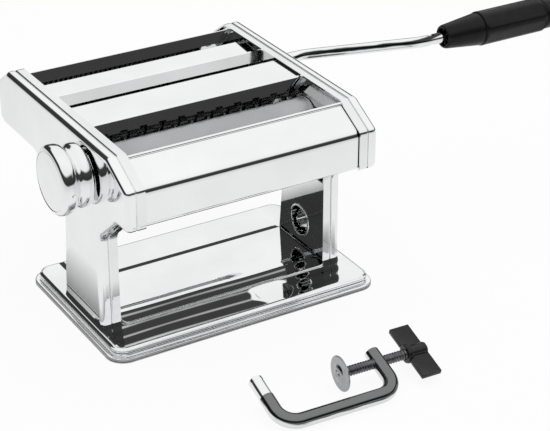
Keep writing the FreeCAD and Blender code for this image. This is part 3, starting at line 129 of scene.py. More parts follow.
def polished_metal(name, tones, gloss, wave_size, wave_height, grain=(40, 1, 1)):
    """Polished metal: a faint smear in its gloss, fine polishing lines and shallow press waves."""
    finish, tree, shader, place = new_finish(name)
    shader.inputs["Metallic"].default_value = 1.0
    smear = noise_at(tree, place, SMEAR_SIZE, detail=3.0)
    lines = noise_at(tree, place, LINE_SIZE, grain)
    waves = noise_at(tree, place, wave_size, detail=0.0)
    dark, light = tones
    wire(tree, two_tone(tree, smear, cool_grey(dark), cool_grey(light)), shader.inputs["Base Color"])
    wire(tree, graded(tree, smear, *gloss), shader.inputs["Roughness"])
    normal = bumped(tree, waves, wave_height)
    wire(tree, bumped(tree, lines, LINE_HEIGHT, normal), shader.inputs["Normal"])
    return finish, tree, shader, place


def dress(finish, *names):
    """Gives CAD nodes a finish and leaves their meshes as they are."""
    for name in names:
        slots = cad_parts[name].material_slots
        for slot in slots:
            slot.material = finish
        if not slots:
            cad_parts[name].data.materials.append(finish)


# Where the bump of the base lies and how high it is, in metres. Rates are in radians a metre.
SWAY_SIZE = 0.06
SWAY = 0.009
LEFT_BEND = (-0.1015, -0.094)
LEFT_BEND_HEIGHT = 0.0012
BACK_CREASE = (0.0272, 0.0326)
BACK_CREASE_DROP = -0.0012
BETWEEN_LEGS = (0.079, 0.083)
RIM_CREASE_RATE = 2900.0
RIM_CREASE_HEIGHT = 0.0002
FRONT_SLOPE = (-0.064, -0.018)
FRONT_SLOPE_HEIGHT = 0.0076
STREAK_RATE = 540.0
STREAK_HEIGHT = 0.00009
DENT_PLACE = (0.028, -0.050, 0.009)
DENT_REACH = (0.022, 0.019, 0.010)
DENT_EDGE = (0.15, 0.4)
RIGHT_LIMIT_SLANT = -0.6
RIGHT_LIMIT = (0.1110, 0.1135)
SIDE_EDGES = (0.0945, 0.0965)
SLOPE_END = (-0.020, -0.015)

base_steel, tree, shader, place = polished_metal(
    "base_steel", tones=(0.84, 0.91), gloss=(0.02, 0.05), wave_size=0.07, wave_height=0.00012)
waved = shader.inputs["Normal"].links[0].from_socket
along = tree.nodes.new("ShaderNodeSeparateXYZ")
wire(tree, place, along.inputs[0])
aside = reckon(tree, "ABSOLUTE", along.outputs["X"])
sway = noise_at(tree, place, SWAY_SIZE, (3, 1, 1))
swayed = reckon(tree, "MULTIPLY_ADD", sway, constant=SWAY, third=along.outputs["Y"])

creased = bumped(tree, graded(tree, along.outputs["X"], LEFT_BEND_HEIGHT, 0.0, *LEFT_BEND), 1.0, waved)
back_drop = graded(tree, along.outputs["Y"], 0.0, BACK_CREASE_DROP, *BACK_CREASE)
back_crease = reckon(tree, "MULTIPLY", back_drop, graded(tree, aside, 1.0, 0.0, *BETWEEN_LEGS))
creased = bumped(tree, back_crease, 1.0, creased)
rim_creases = reckon(tree, "SINE", reckon(tree, "MULTIPLY", along.outputs["Z"], constant=RIM_CREASE_RATE))
creased = bumped(tree, rim_creases, RIM_CREASE_HEIGHT, creased)

streaks = reckon(tree, "SINE", reckon(tree, "MULTIPLY", swayed, constant=STREAK_RATE))
slope = reckon(tree, "MULTIPLY_ADD", streaks, constant=STREAK_HEIGHT,
               third=graded(tree, swayed, FRONT_SLOPE_HEIGHT, 0.0, *FRONT_SLOPE))
sloped = bumped(tree, slope, 1.0, creased)

dent = tree.nodes.new("ShaderNodeMapping")
dent.vector_type = "TEXTURE"
dent.inputs["Location"].default_value = DENT_PLACE
dent.inputs["Scale"].default_value = DENT_REACH
wire(tree, place, dent.inputs["Vector"])
dent_ball = tree.nodes.new("ShaderNodeTexGradient")
dent_ball.gradient_type = "SPHERICAL"
wire(tree, dent.outputs["Vector"], dent_ball.inputs["Vector"])
in_dent = graded(tree, dent_ball.outputs["Fac"], 0.0, 1.0, *DENT_EDGE)
slanted = reckon(tree, "MULTIPLY_ADD", along.outputs["Y"], constant=RIGHT_LIMIT_SLANT,
                 third=along.outputs["X"])
at_sides = reckon(tree, "MAXIMUM", graded(tree, slanted, 0.0, 1.0, *RIGHT_LIMIT),
                  graded(tree, aside, 0.0, 1.0, *SIDE_EDGES))
level_part = reckon(tree, "MAXIMUM", reckon(tree, "MAXIMUM", in_dent, at_sides),
                    graded(tree, along.outputs["Y"], 0.0, 1.0, *SLOPE_END))
deck = tree.nodes.new("ShaderNodeMix")
deck.data_type = "VECTOR"
wire(tree, level_part, deck.inputs["Factor"])
wire(tree, sloped, deck.inputs["A"])
wire(tree, creased, deck.inputs["B"])
wire(tree, deck.outputs["Result"], shader.inputs["Normal"])
dress(base_steel, "base_plate")


# Legs and head: two end frames pressed from thicker sheet, each in one piece from foot to head.
# A flat plate with a collared hole closes the inner side of each leg, and small zinc rivets hold
# the feet on the base.
frame_steel = polished_metal(
    "frame_steel", tones=(0.82, 0.90), gloss=(0.03, 0.07), wave_size=0.05, wave_height=0.00003,
    grain=(1, 1, 40))[0]
dress(frame_steel, "left_frame", "right_frame", "left_leg_liner", "right_leg_liner")

CRYSTALS = 900.0
zinc_plate, tree, shader, place = new_finish("zinc_plate")
shader.inputs["Metallic"].default_value = 1.0
crystals = tree.nodes.new("ShaderNodeTexVoronoi")
crystals.inputs["Scale"].default_value = CRYSTALS
wire(tree, place, crystals.inputs["Vector"])
crystal = crystals.outputs["Distance"]
wire(tree, two_tone(tree, crystal, dark=(0.40, 0.41, 0.42), light=(0.50, 0.51, 0.52)),
     shader.inputs["Base Color"])
wire(tree, graded(tree, noise_at(tree, place, size=0.004), low=0.22, high=0.36), shader.inputs["Roughness"])
wire(tree, bumped(tree, crystal, height=0.000006), shader.inputs["Normal"])
dress(zinc_plate, "foot_rivets")


# Tie rods: three plain turned bars that hold the frames apart, with a screw in each end.
# They are zinc plated like the rivets and are hidden by the panels and the covers.
dress(zinc_plate, "front_tie_rod", "middle_tie_rod", "back_tie_rod", "tie_rod_screws")


# Bushes: flanged rings of natural nylon, pressed into the frames, one at each end of a shaft.
# Only their rims show, inside the covers.
def blotched(name, tone_size, dark, light, gloss_size, gloss, detail=2.0):
    """A finish with blotches of tone and of gloss, their sizes in metres."""
    finish, tree, shader, place = new_finish(name)
    tones = noise_at(tree, place, tone_size, detail=detail)
    wire(tree, two_tone(tree, tones, dark, light), shader.inputs["Base Color"])
    blotches = noise_at(tree, place, gloss_size, detail=detail)
    wire(tree, graded(tree, blotches, *gloss), shader.inputs["Roughness"])
    return finish, tree, shader, place


def roughen(tree, shader, place, size, height):
    """Gives a finish a fine grain of the given size and height in metres."""
    wire(tree, bumped(tree, noise_at(tree, place, size), height), shader.inputs["Normal"])


nylon, tree, shader, place = blotched(
    "natural_nylon", tone_size=0.003, dark=(0.80, 0.79, 0.74), light=(0.87, 0.86, 0.82),
    gloss_size=0.0012, gloss=(0.42, 0.58))
roughen(tree, shader, place, size=0.0008, height=0.00002)
shader.inputs["Subsurface Weight"].default_value = 0.15
shader.inputs["Subsurface Radius"].default_value = (0.001, 0.001, 0.001)
dress(nylon, "left_bushes", "right_bushes")


# Smooth rollers and regulator shaft: turned and ground from bar.
# Grinding leaves fine rings round the axis, which make their gloss satin.
RING_SIZE = 0.0004
RING_HEIGHT = 0.000006


def turned_steel(name, patch_size, dark, light, gloss):
    """Bare steel from the lathe: fine rings round X and faint patches of tone."""
    finish, tree, shader, place = new_finish(name)
    shader.inputs["Metallic"].default_value = 1.0
    rings = noise_at(tree, place, RING_SIZE, (1, 30, 30))
    patches = noise_at(tree, place, patch_size)
    wire(tree, two_tone(tree, patches, dark, light), shader.inputs["Base Color"])
    wire(tree, graded(tree, rings, *gloss), shader.inputs["Roughness"])
    wire(tree, bumped(tree, rings, RING_HEIGHT), shader.inputs["Normal"])
    return finish


ground_steel = turned_steel("ground_steel", patch_size=0.03, dark=cool_grey(0.40), light=cool_grey(0.47),
                            gloss=(0.30, 0.38))
dress(ground_steel, "front_sheet_roller", "rear_sheet_roller", "regulator_shaft", "regulator_sleeve")


# Wide cutter rollers: turned drums with broad grooves, whose dark colour is painted shade.
# They lie deep under the slot between the centre plate and the hood.
cutter_steel_painted_shade = turned_steel("cutter_steel_painted_shade", patch_size=0.012, dark=(0.11, 0.112, 0.115),
                            light=(0.17, 0.172, 0.175), gloss=(0.20, 0.32))
dress(cutter_steel_painted_shade, "wide_cutter_front_roller", "wide_cutter_back_roller")


# Fine cutter rollers: drums that cut the sheet into thin strands, in the same steel painted dark as shade.
# Narrow grooves are turned into them between the two necks, and the front one has a drive socket.
MM = 0.001


def placed(name, work, matrix, finish, body, slot, *stands_for):
    """Makes a finished piece from a mesh worked in millimetres on its own axes."""
    bmesh.ops.remove_doubles(work, verts=work.verts, dist=0.0005)
    bmesh.ops.recalc_face_normals(work, faces=work.faces)
    bmesh.ops.transform(work, matrix=matrix @ Matrix.Scale(MM, 4), verts=work.verts)
    mesh = bpy.data.meshes.new(name)
    work.to_mesh(mesh)
    work.free()
    mesh.materials.append(finish)
    piece = bpy.data.objects.new(name, mesh)
    bpy.context.scene.collection.objects.link(piece)
    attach(piece, body)
    if stands_for:
        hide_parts(*stands_for)
    return piece


def turned(profile, steps):
    """A mesh turned about X from a half section of (along, radius) points."""
    work = bmesh.new()
    points = [work.verts.new((along, radius, 0)) for along, radius in profile]
    edges = [work.edges.new(pair) for pair in zip(points, points[1:])]
    bmesh.ops.spin(work, geom=points + edges, cent=(0, 0, 0), axis=(1, 0, 0), angle=2 * math.pi,
                   steps=steps, use_merge=True)
    return work


def soften(piece, angle=32):
    """Shades round faces smooth and leaves edges sharper than the angle crisp."""
    for face in piece.data.polygons:
        face.use_smooth = True
    piece.data.set_sharp_from_angle(angle=math.radians(angle))


def axis_of(node):
    """A round node's box and where its axis along X lies, in metres."""
    low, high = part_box(node)
    return low, high, (low.y + high.y) / 2, (low.z + high.z) / 2


DRUM_HALF = 76.5
NECK_END = 84.6
NECK_RADIUS = 7.0
JOURNAL_RADIUS = 6.0
SOCKET_RADIUS = 4.05
SOCKET_FLOOR = 80.8
GROOVE_PITCH = 4.0
GROOVE_WIDTH = 2.1
GROOVE_DEPTH = 1.6
GROOVES_EACH_SIDE = 18
for half in ("front", "back"):
    node = "fine_cutter_%s_roller" % half
    low, high, y, z = axis_of(node)
    left_end, right_end = low.x / MM, high.x / MM
    drum = (high.z - low.z) / 2 / MM
    driven = half == "front"
    shift = 0 if driven else GROOVE_PITCH / 2
    profile = [(left_end, 0), (left_end, JOURNAL_RADIUS), (-NECK_END, JOURNAL_RADIUS),
               (-NECK_END, NECK_RADIUS), (-DRUM_HALF, NECK_RADIUS), (-DRUM_HALF, drum)]
    for groove in range(-GROOVES_EACH_SIDE, GROOVES_EACH_SIDE + driven):
        middle = groove * GROOVE_PITCH + shift
        near_side, far_side = middle - GROOVE_WIDTH / 2, middle + GROOVE_WIDTH / 2
        profile += [(near_side, drum), (near_side, drum - GROOVE_DEPTH),
                    (far_side, drum - GROOVE_DEPTH), (far_side, drum)]
    profile += [(DRUM_HALF, drum), (DRUM_HALF, NECK_RADIUS), (NECK_END, NECK_RADIUS),
                (NECK_END, JOURNAL_RADIUS), (right_end, JOURNAL_RADIUS)]
    if driven:
        profile += [(right_end, SOCKET_RADIUS), (SOCKET_FLOOR, SOCKET_RADIUS), (SOCKET_FLOOR, 0)]
    else:
        profile += [(right_end, 0)]
    roller = placed(node + "_grooved", turned(profile, steps=48), Matrix.Translation((0, y, z)),
                    cutter_steel_painted_shade, "fine_" + half, "roller_steel", node)
    soften(roller)


# Rolled rings round the holes in the legs: the sheet is drawn up round each hole and turned over.
# They are part of the liners' pressing and as bright as it.
HOLE_HEIGHT = 28.0
RING_PROFILE = [
    (80.3, 10.7), (79.95, 10.7), (79.7, 11.0), (79.62, 11.5), (79.7, 12.0), (79.95, 12.3), (80.3, 12.35),
    (80.3, 10.7),
]
for side, turn in (("right", 0.0), ("left", math.pi)):
    ring_place = Matrix.Translation((0, 0, HOLE_HEIGHT * MM)) @ Matrix.Rotation(turn, 4, "Z")
    ring = placed(side + "_hole_ring", turned(RING_PROFILE, steps=64), ring_place, frame_steel, "machine",
                  "polished_steel")
    soften(ring, angle=60)


# Gears: small spur gears cut from steel bar and left dark and oily, behind the side guides.
# Each sits on a roller's neck.
oiled_steel, tree, shader, place = blotched(
    "oiled_steel", tone_size=0.006, dark=(0.30, 0.30, 0.31), light=(0.45, 0.45, 0.46),
    gloss_size=0.002, gloss=(0.24, 0.42))
shader.inputs["Metallic"].default_value = 1.0
roughen(tree, shader, place, size=0.0005, height=0.00001)
dress(oiled_steel, "front_sheet_gear", "rear_sheet_gear", "wide_cutter_front_gear", "wide_cutter_back_gear",
      "fine_cutter_front_gear", "fine_cutter_back_gear")


# Scrapers and combs: spring steel blades under the smooth rollers and the fine cutter,
# and nylon combs whose fingers lie in the wide cutter's grooves.
dress(zinc_plate, "front_scraper", "middle_scraper", "back_scraper")
dress(nylon, "front_comb", "back_comb")


# Side guides: cheeks of thin sheet at the ends of the rollers, brushed satin.
# They lead the dough and stand against the frames.
satin_steel = polished_metal(
    "satin_steel", tones=(0.62, 0.70), gloss=(0.16, 0.22), wave_size=0.05, wave_height=0.00003)[0]
dress(satin_steel, "left_side_guide", "right_side_guide")


# Front panel: folded from thin sheet and polished before folding, with a rolled bead along its lip.
# It slides between the frames.
SHEET_HALF = 85.8
BEAD_RADIUS = 1.5
BEAD_PLACE = (0, -0.0512, 0.1399)
panel_steel = polished_metal(
    "panel_steel", tones=(0.88, 0.93), gloss=(0.025, 0.055), wave_size=0.11, wave_height=0.0001)[0]
dress(panel_steel, "front_panel")
BEAD_PROFILE = [(-SHEET_HALF, 0), (-SHEET_HALF, BEAD_RADIUS), (SHEET_HALF, BEAD_RADIUS), (SHEET_HALF, 0)]
bead = placed("front_lip_bead", turned(BEAD_PROFILE, steps=40), Matrix.Translation(BEAD_PLACE), panel_steel,
              "machine", "polished_steel")
soften(bead)


# Rear panel: folded from the same sheet, with a strip that slopes down into the rear slot.
# It slides between the frames like the front one.
SHEET_WALL = 1.0


def folded(points, folds):
    """A sheet folded along X through (across, height) points, its folds as (point, reach)."""
    work = bmesh.new()
    rows = [[work.verts.new((x, y, z)) for x in (-SHEET_HALF, SHEET_HALF)] for y, z in points]
    for lower, upper in zip(rows, rows[1:]):
        work.faces.new((lower[0], lower[1], upper[1], upper[0]))
    for index, reach in folds:
        bmesh.ops.bevel(work, geom=[work.edges.get(rows[index])], offset=reach, segments=5, profile=0.5,
                        affect="EDGES", material=-1)
    work.normal_update()
    bmesh.ops.solidify(work, geom=work.faces[:], thickness=SHEET_WALL)
    return work


REAR_SECTION = [(99.1, 132.9), (102.5, 140.9), (123.5, 129.4), (123.5, 106.4), (118.1, 101.0)]
REAR_FOLDS = [(1, 0.5), (2, 2.0), (3, 1.5)]
placed("rear_panel_folded", folded(REAR_SECTION, REAR_FOLDS), Matrix(), panel_steel, "machine",
       "polished_steel", "rear_panel")


# Centre plate: a folded plate between the smooth rollers and the cutters, from the same sheet.
# Its front wall has a row of small notches along the lower edge, just above the rear smooth roller.
def block(work, place, size):
    """Adds a block of the given size to a mesh and returns its corners."""
    made = bmesh.ops.create_cube(work, size=1.0)["verts"]
    bmesh.ops.transform(work, verts=made, matrix=place @ Matrix.Diagonal((*size, 1)))
    return made


PLATE_SECTION = [(-1.41, 133.9), (1.7, 140.9), (34.3, 140.9), (35.0, 135.0)]
PLATE_FOLDS = [(1, 0.9), (2, 0.6)]
WALL_LEAN = math.atan2(4.0, 9.0)
TEETH = 12
NOTCH_PITCH = 14.4
NOTCH_WIDTH = 5.4
TOOTH_ROW = (-0.77, 133.85)
TOOTH_SIZE = (NOTCH_PITCH - NOTCH_WIDTH, 0.8, 3.2)
plate_work = folded(PLATE_SECTION, PLATE_FOLDS)
for tooth in range(TEETH):
    tooth_place = Matrix.Translation(((tooth - (TEETH - 1) / 2) * NOTCH_PITCH, *TOOTH_ROW))
    block(plate_work, tooth_place @ Matrix.Rotation(-WALL_LEAN, 4, "X"), TOOTH_SIZE)
placed("centre_plate_folded", plate_work, Matrix(), panel_steel, "machine", "polished_steel", "centre_plate")


# Cutter hood: a folded cap between the wide and the fine cutter, from the same sheet.
# Its top is polished, and its walls are left satin and end just above the cutters.
HOOD_SECTION = [(58.6, 130.8), (64.3, 137.0), (84.0, 138.0), (84.4, 132.0)]
HOOD_FOLDS = [(1, 0.6), (2, 0.6)]
STEEP = 0.7
hood = placed("cutter_hood_folded", folded(HOOD_SECTION, HOOD_FOLDS), Matrix(), panel_steel, "machine",
              "polished_steel", "cutter_hood")
hood.data.materials.append(satin_steel)
for face in hood.data.polygons:
    if abs(face.normal.y) > STEEP:
        face.material_index = 1


# End covers: deep pressed shells on the frames' outer sides, the most polished pieces.
# Shallow waves from the press, which are bump in the finish, warp what they reflect.
cover_steel = polished_metal(
    "cover_steel", tones=(0.88, 0.94), gloss=(0.02, 0.05), wave_size=0.06, wave_height=0.00014,
    grain=(1, 40, 1))[0]
dress(cover_steel, "left_cover", "right_cover")


# Regulator knob: two turned rings with a waist between them, chromed, with a flat face disc.
# It is pushed on the regulator shaft's end, and a zinc pin on its back runs in the cover's slot.
chrome = polished_metal(
    "chrome", tones=(0.86, 0.93), gloss=(0.03, 0.06), wave_size=0.02, wave_height=0.00004)[0]
low, high, y, z = axis_of("regulator_knob")
KNOB_PROFILE = [
    (0.0, 12.5), (0.0, 16.0), (1.0, 17.5), (1.1, 20.0), (1.3, 20.9), (1.9, 21.5), (3.0, 21.8), (5.5, 21.8),
    (7.2, 21.4), (8.4, 20.5), (9.4, 19.9), (10.6, 19.7), (11.6, 20.1), (12.5, 21.2), (13.4, 22.7),
    (14.4, 23.5), (16.5, 23.9), (19.2, 24.0), (20.6, 23.8), (21.8, 23.25), (22.7, 22.4), (23.25, 21.4),
    (23.45, 20.5), (23.3, 20.25), (22.6, 20.2), (22.6, 0.0),
]
DISC_PROFILE = [
    (22.62, 0.0), (22.62, 20.15), (23.1, 20.1), (23.35, 19.7), (23.45, 18.5), (23.5, 14.0), (23.5, 9.8),
    (23.44, 8.8), (23.36, 8.0), (23.34, 0.0),
]
knob_place = Matrix.Translation((high.x, y, z)) @ Matrix.Rotation(math.pi, 4, "Z")
for name, profile, node in (("knob_rings", KNOB_PROFILE, "regulator_knob"),
                            ("knob_disc", DISC_PROFILE, "knob_face_disc")):
    soften(placed(name, turned(profile, steps=96), knob_place, chrome, "knob", "knob_chrome", node))
dress(zinc_plate, "knob_stop_pin")


# Crank: a steel rod bent twice and bright chrome plated. Its flat tongue sits in the drive socket
# of the fine cutter, and the grip turns on its long end. The dark line along the arm's upper side is
# a tone in the finish, in place of the dark room that the real rod reflects there.
ARM_UP = (-0.154, 0.188, 0.970)
ARM_LEVEL = 0.1095
BAND_ABOVE = 0.0023
BAND_EDGE = (0.0006, 0.0020)
BAND_RAGGED = 0.0014
BAND_NOISE_SIZE = 0.004
BAND_DARK = (0.05, 0.05, 0.052)
rod_chrome, tree, shader, place = polished_metal(
    "rod_chrome", tones=(0.84, 0.92), gloss=(0.04, 0.09), wave_size=0.012, wave_height=0.00002)
above_arm = tree.nodes.new("ShaderNodeVectorMath")
above_arm.operation = "DOT_PRODUCT"
above_arm.inputs[1].default_value = ARM_UP
wire(tree, place, above_arm.inputs[0])
ragged = reckon(tree, "MULTIPLY_ADD", noise_at(tree, place, BAND_NOISE_SIZE, (6, 6, 1)),
                constant=BAND_RAGGED, third=above_arm.outputs["Value"])
off_band = reckon(tree, "ABSOLUTE", reckon(tree, "SUBTRACT", ragged, constant=ARM_LEVEL + BAND_ABOVE))
wire(tree, two_tone(tree, graded(tree, off_band, 0.0, 1.0, *BAND_EDGE), BAND_DARK, cool_grey(0.90)),
     shader.inputs["Base Color"])
dress(rod_chrome, "crank_rod")


# Grip: moulded in black plastic with a hollow, ribbed nose, a taper, a step and a faceted main part.
# The end cap is a separate moulding that snaps into the end.
def moulded_black(name, gloss, specular):
    """Black plastic with the faint texture of its mould."""
    finish, tree, shader, place = blotched(
        name, tone_size=0.006, dark=(0.004, 0.004, 0.004), light=(0.008, 0.008, 0.008),
        gloss_size=0.004, gloss=gloss, detail=4.0)
    roughen(tree, shader, place, size=0.0009, height=0.00003)
    shader.inputs["Specular IOR Level"].default_value = specular
    return finish


def flattened(work, count, reach, start, end, turn):
    """Presses flats on a turned mesh, each at the given reach from the axis."""
    for vert in work.verts:
        if start < vert.co.x < end:
            for index in range(count):
                angle = turn + 2 * math.pi * index / count
                out = Vector((0, math.cos(angle), math.sin(angle)))
                over = vert.co.dot(out) - reach
                if over > 0:
                    vert.co -= out * over


GRIP_PROFILE = [
    (9.0, 4.05), (9.0, 5.9), (1.0, 6.3), (0.3, 6.7), (0.0, 7.3), (0.2, 8.0), (0.7, 8.5), (1.6, 8.8),
    (30.0, 12.1), (30.5, 12.1), (30.7, 11.7), (31.2, 11.7), (31.4, 12.3), (31.8, 12.7), (32.4, 12.8),
    (33.0, 12.8), (36.0, 12.8), (83.0, 12.8), (86.4, 12.8), (87.0, 12.6), (87.4, 12.2), (87.6, 11.6),
    (87.6, 4.05), (9.0, 4.05),
]
FLATS = 6
FLAT_REACH = 11.9
FLATS_START, FLATS_END = 34.0, 87.0
FLATS_TURN = math.radians(20)
NOSE_RIBS = 6
NOSE_RIB_TURN = math.radians(15)
NOSE_RIB_PLACE = (5.2, 5.3, 0)
NOSE_RIB_SIZE = (7.6, 1.9, 0.9)
CAP_PROFILE = [
    (87.62, 0.0), (87.62, 11.0), (87.8, 11.4), (88.2, 11.6), (88.8, 11.6), (89.0, 11.3), (89.4, 11.3),
    (89.6, 11.6), (95.4, 11.6), (96.6, 11.3), (97.6, 10.5), (98.3, 9.3), (98.58, 8.0), (98.6, 0.0),
]
MOULDED_EDGE = 28
black_plastic = moulded_black("black_plastic", gloss=(0.26, 0.38), specular=0.2)
low, high, y, z = axis_of("crank_grip")
grip_place = Matrix.Translation((low.x, y, z))
grip_work = turned(GRIP_PROFILE, steps=96)
flattened(grip_work, FLATS, FLAT_REACH, FLATS_START, FLATS_END, FLATS_TURN)
for rib in range(NOSE_RIBS):
    rib_turn = Matrix.Rotation(2 * math.pi * rib / NOSE_RIBS + NOSE_RIB_TURN, 4, "X")
    block(grip_work, rib_turn @ Matrix.Translation(NOSE_RIB_PLACE), NOSE_RIB_SIZE)
grip = placed("grip_moulding", grip_work, grip_place, black_plastic, "grip", "black_plastic", "crank_grip")
soften(grip, MOULDED_EDGE)
cap = placed("grip_cap_moulding", turned(CAP_PROFILE, steps=96), grip_place, black_plastic, "grip",
             "black_plastic", "grip_end_cap")
soften(cap, MOULDED_EDGE)


# Clamp: a thick chromed rod bent to a C. A thin bright sleeve with a collar closes the tip of one jaw.
# It lies loose on the table in front of the machine. The grey of the rod's upper side, with its dark
# lower edge, is a tone in the finish, in place of the dark room that the real rod reflects.
CLAMP_PLACE = (-0.04625, -0.1881, 0.005)
CLAMP_YAW = math.radians(-2.6)
ROD_RADIUS = 5.0
SCREW_ABOVE_TABLE = 12.1
SCREW_FROM_ROD = 25.8
CLAMP_TILT = math.asin((SCREW_ABOVE_TABLE - ROD_RADIUS) / SCREW_FROM_ROD)
GREY_SIDE = (0.0012, 0.0062)
GREY_RAGGED = 0.003
GREY_NOISE_SIZE = 0.0012
ROD_GREY = (0.20, 0.202, 0.205)
DARK_EDGE_AT = 0.45
clamp_frame = (Matrix.Translation(CLAMP_PLACE) @ Matrix.Rotation(CLAMP_YAW, 4, "Z")
               @ Matrix.Rotation(CLAMP_TILT, 4, "X"))
clamp_chrome, tree, shader, place = polished_metal(
    "clamp_chrome", tones=(0.60, 0.74), gloss=(0.08, 0.14), wave_size=0.012, wave_height=0.00003)
on_rod = tree.nodes.new("ShaderNodeMapping")
on_rod.vector_type = "TEXTURE"
on_rod.inputs["Location"].default_value = CLAMP_PLACE
on_rod.inputs["Rotation"].default_value = (CLAMP_TILT, 0, CLAMP_YAW)
wire(tree, place, on_rod.inputs["Vector"])
up = tree.nodes.new("ShaderNodeSeparateXYZ")
wire(tree, on_rod.outputs["Vector"], up.inputs[0])
drawn = noise_at(tree, on_rod.outputs["Vector"], GREY_NOISE_SIZE, (12, 12, 1))
ragged = reckon(tree, "MULTIPLY_ADD", drawn, constant=GREY_RAGGED, third=up.outputs["Z"])
rod_tones = two_tone(tree, graded(tree, ragged, 0.0, 1.0, *GREY_SIDE), cool_grey(0.82), ROD_GREY)
rod_tones.node.color_ramp.elements.new(DARK_EDGE_AT).color = (*BAND_DARK, 1)
wire(tree, rod_tones, shader.inputs["Base Color"])
dress(clamp_chrome, "clamp_rod")

JAW_TIP = (0, 0.039, 0)
SLEEVE_PROFILE = [
    (0.02, 0.0), (0.02, 4.1), (-0.5, 4.2), (-0.7, 4.4), (-0.7, 4.7), (-0.4, 5.0), (2.0, 5.05), (2.3, 4.85),
    (2.9, 4.78), (14.4, 4.78), (14.9, 4.7), (14.97, 4.43), (0.1, 4.43),
]
jaw_place = clamp_frame @ Matrix.Translation(JAW_TIP) @ Matrix.Rotation(-math.pi / 2, 4, "Z")
sleeve = placed("jaw_sleeve", turned(SLEEVE_PROFILE, steps=64), jaw_place, chrome, "clamp", "clear_sleeve",
                "clamp_jaw_sleeve")
soften(sleeve)


# Clamp screw: a blackened steel screw with a rolled thread, which runs through the rod's other jaw.
# The thread's ridge is wound round a plain core.
SCREW_PROFILE = [
    (55.25, 0.0), (55.25, 2.2), (55.6, 2.6), (58.8, 2.6), (59.0, 2.95), (103.5, 2.95), (103.5, 3.4),
    (116.0, 3.4), (116.4, 3.0), (116.4, 0.0),
]
RIDGE_PROFILE = [(59.2, 2.95), (59.9, 3.5), (60.2, 3.5), (60.9, 2.95)]
THREAD_PITCH = 2.0
THREAD_TURNS = 22
STEPS_PER_TURN = 32
screw_steel, tree, shader, place = blotched(
    "blackened_steel", tone_size=0.004, dark=(0.10, 0.10, 0.105), light=(0.20, 0.20, 0.21),
    gloss_size=0.002, gloss=(0.28, 0.44))
shader.inputs["Metallic"].default_value = 1.0
screw_place = clamp_frame @ Matrix.Translation((0, SCREW_FROM_ROD * MM, 0))
screw_work = turned(SCREW_PROFILE, steps=48)
crest = [screw_work.verts.new((along, radius, 0)) for along, radius in RIDGE_PROFILE]
ridge = [screw_work.edges.new(pair) for pair in zip(crest, crest[1:])]
bmesh.ops.spin(screw_work, geom=crest + ridge, cent=(0, 0, 0), axis=(1, 0, 0),
               angle=2 * math.pi * THREAD_TURNS, steps=STEPS_PER_TURN * THREAD_TURNS,
               dvec=(THREAD_PITCH / STEPS_PER_TURN, 0, 0))
screw = placed("screw_thread", screw_work, screw_place, screw_steel, "clamp_screw", "screw_steel",
               "clamp_screw")
soften(screw, angle=40)


# Clamp pad: a round plate pressed from zinc plated sheet, with a raised middle and a rivet head.
# It turns on the screw's tip.
PAD_PROFILE = [
    (51.9, 0.0), (51.75, 0.7), (51.35, 1.3), (51.2, 1.9), (51.3, 2.5), (51.75, 2.9), (52.0, 3.0),
    (52.05, 3.7), (52.3, 4.6), (52.8, 5.4), (53.3, 6.0), (53.6, 6.8), (53.75, 7.6), (53.65, 8.6),
    (53.6, 10.6), (53.7, 11.5), (53.95, 12.0), (54.3, 12.1), (54.7, 11.95), (54.9, 11.5), (54.9, 5.6),
    (58.3, 5.0), (58.3, 2.65), (54.95, 2.65), (54.95, 0.0),
]
bright_zinc = polished_metal(
    "bright_zinc", tones=(0.36, 0.44), gloss=(0.12, 0.18), wave_size=0.01, wave_height=0.00002)[0]
pad = placed("pad_pressing", turned(PAD_PROFILE, steps=72), screw_place, bright_zinc, "clamp_pad", "zinc",
             "clamp_pad")
soften(pad)


# Clamp wing: moulded in black plastic on the screw's head, glossier than the grip.
# It has a ribbed collar and two blades with raised borders.
COLLAR_PROFILE = [
    (102.6, 3.7), (102.6, 5.6), (102.9, 6.1), (103.6, 6.3), (105.4, 6.3), (106.0, 6.0), (106.2, 5.2),
    (106.8, 4.9), (116.6, 4.9), (117.8, 4.5), (118.4, 3.6), (118.5, 0.0),
]
COLLAR_RIBS = 16
COLLAR_RIB_PLACE = (104.5, 6.15, 0)
COLLAR_RIB_SIZE = (1.8, 0.5, 0.9)
BLADE_ALONG = 110.5
BLADE_ASIDE = 13.0
BLADE_SIZE = (14.4, 17.8, 3.4)
BLADE_BORDER = 1.5
BLADE_RECESS = 0.5
BLADE_EDGE = 0.35
wing_black = moulded_black("wing_black", gloss=(0.16, 0.42), specular=0.4)
wing_work = turned(COLLAR_PROFILE, steps=64)
for rib in range(COLLAR_RIBS):
    rib_turn = Matrix.Rotation(2 * math.pi * rib / COLLAR_RIBS, 4, "X")
    block(wing_work, rib_turn @ Matrix.Translation(COLLAR_RIB_PLACE), COLLAR_RIB_SIZE)
for side in (-1, 1):
    corners = block(wing_work, Matrix.Translation((BLADE_ALONG, side * BLADE_ASIDE, 0)), BLADE_SIZE)
    faces = {face for corner in corners for face in corner.link_faces}
    broad = [face for face in faces if abs(face.calc_center_median().z) > BLADE_SIZE[2] / 4]
    bmesh.ops.inset_individual(wing_work, faces=broad, thickness=BLADE_BORDER, depth=-BLADE_RECESS)
    edges = {edge for corner in corners for edge in corner.link_edges}
    bmesh.ops.bevel(wing_work, geom=list(edges), offset=BLADE_EDGE, segments=2, profile=0.5, affect="EDGES",
                    material=-1)
wing = placed("wing_moulding", wing_work, screw_place, wing_black, "clamp_screw", "black_plastic",
              "clamp_wing")
soften(wing, MOULDED_EDGE)
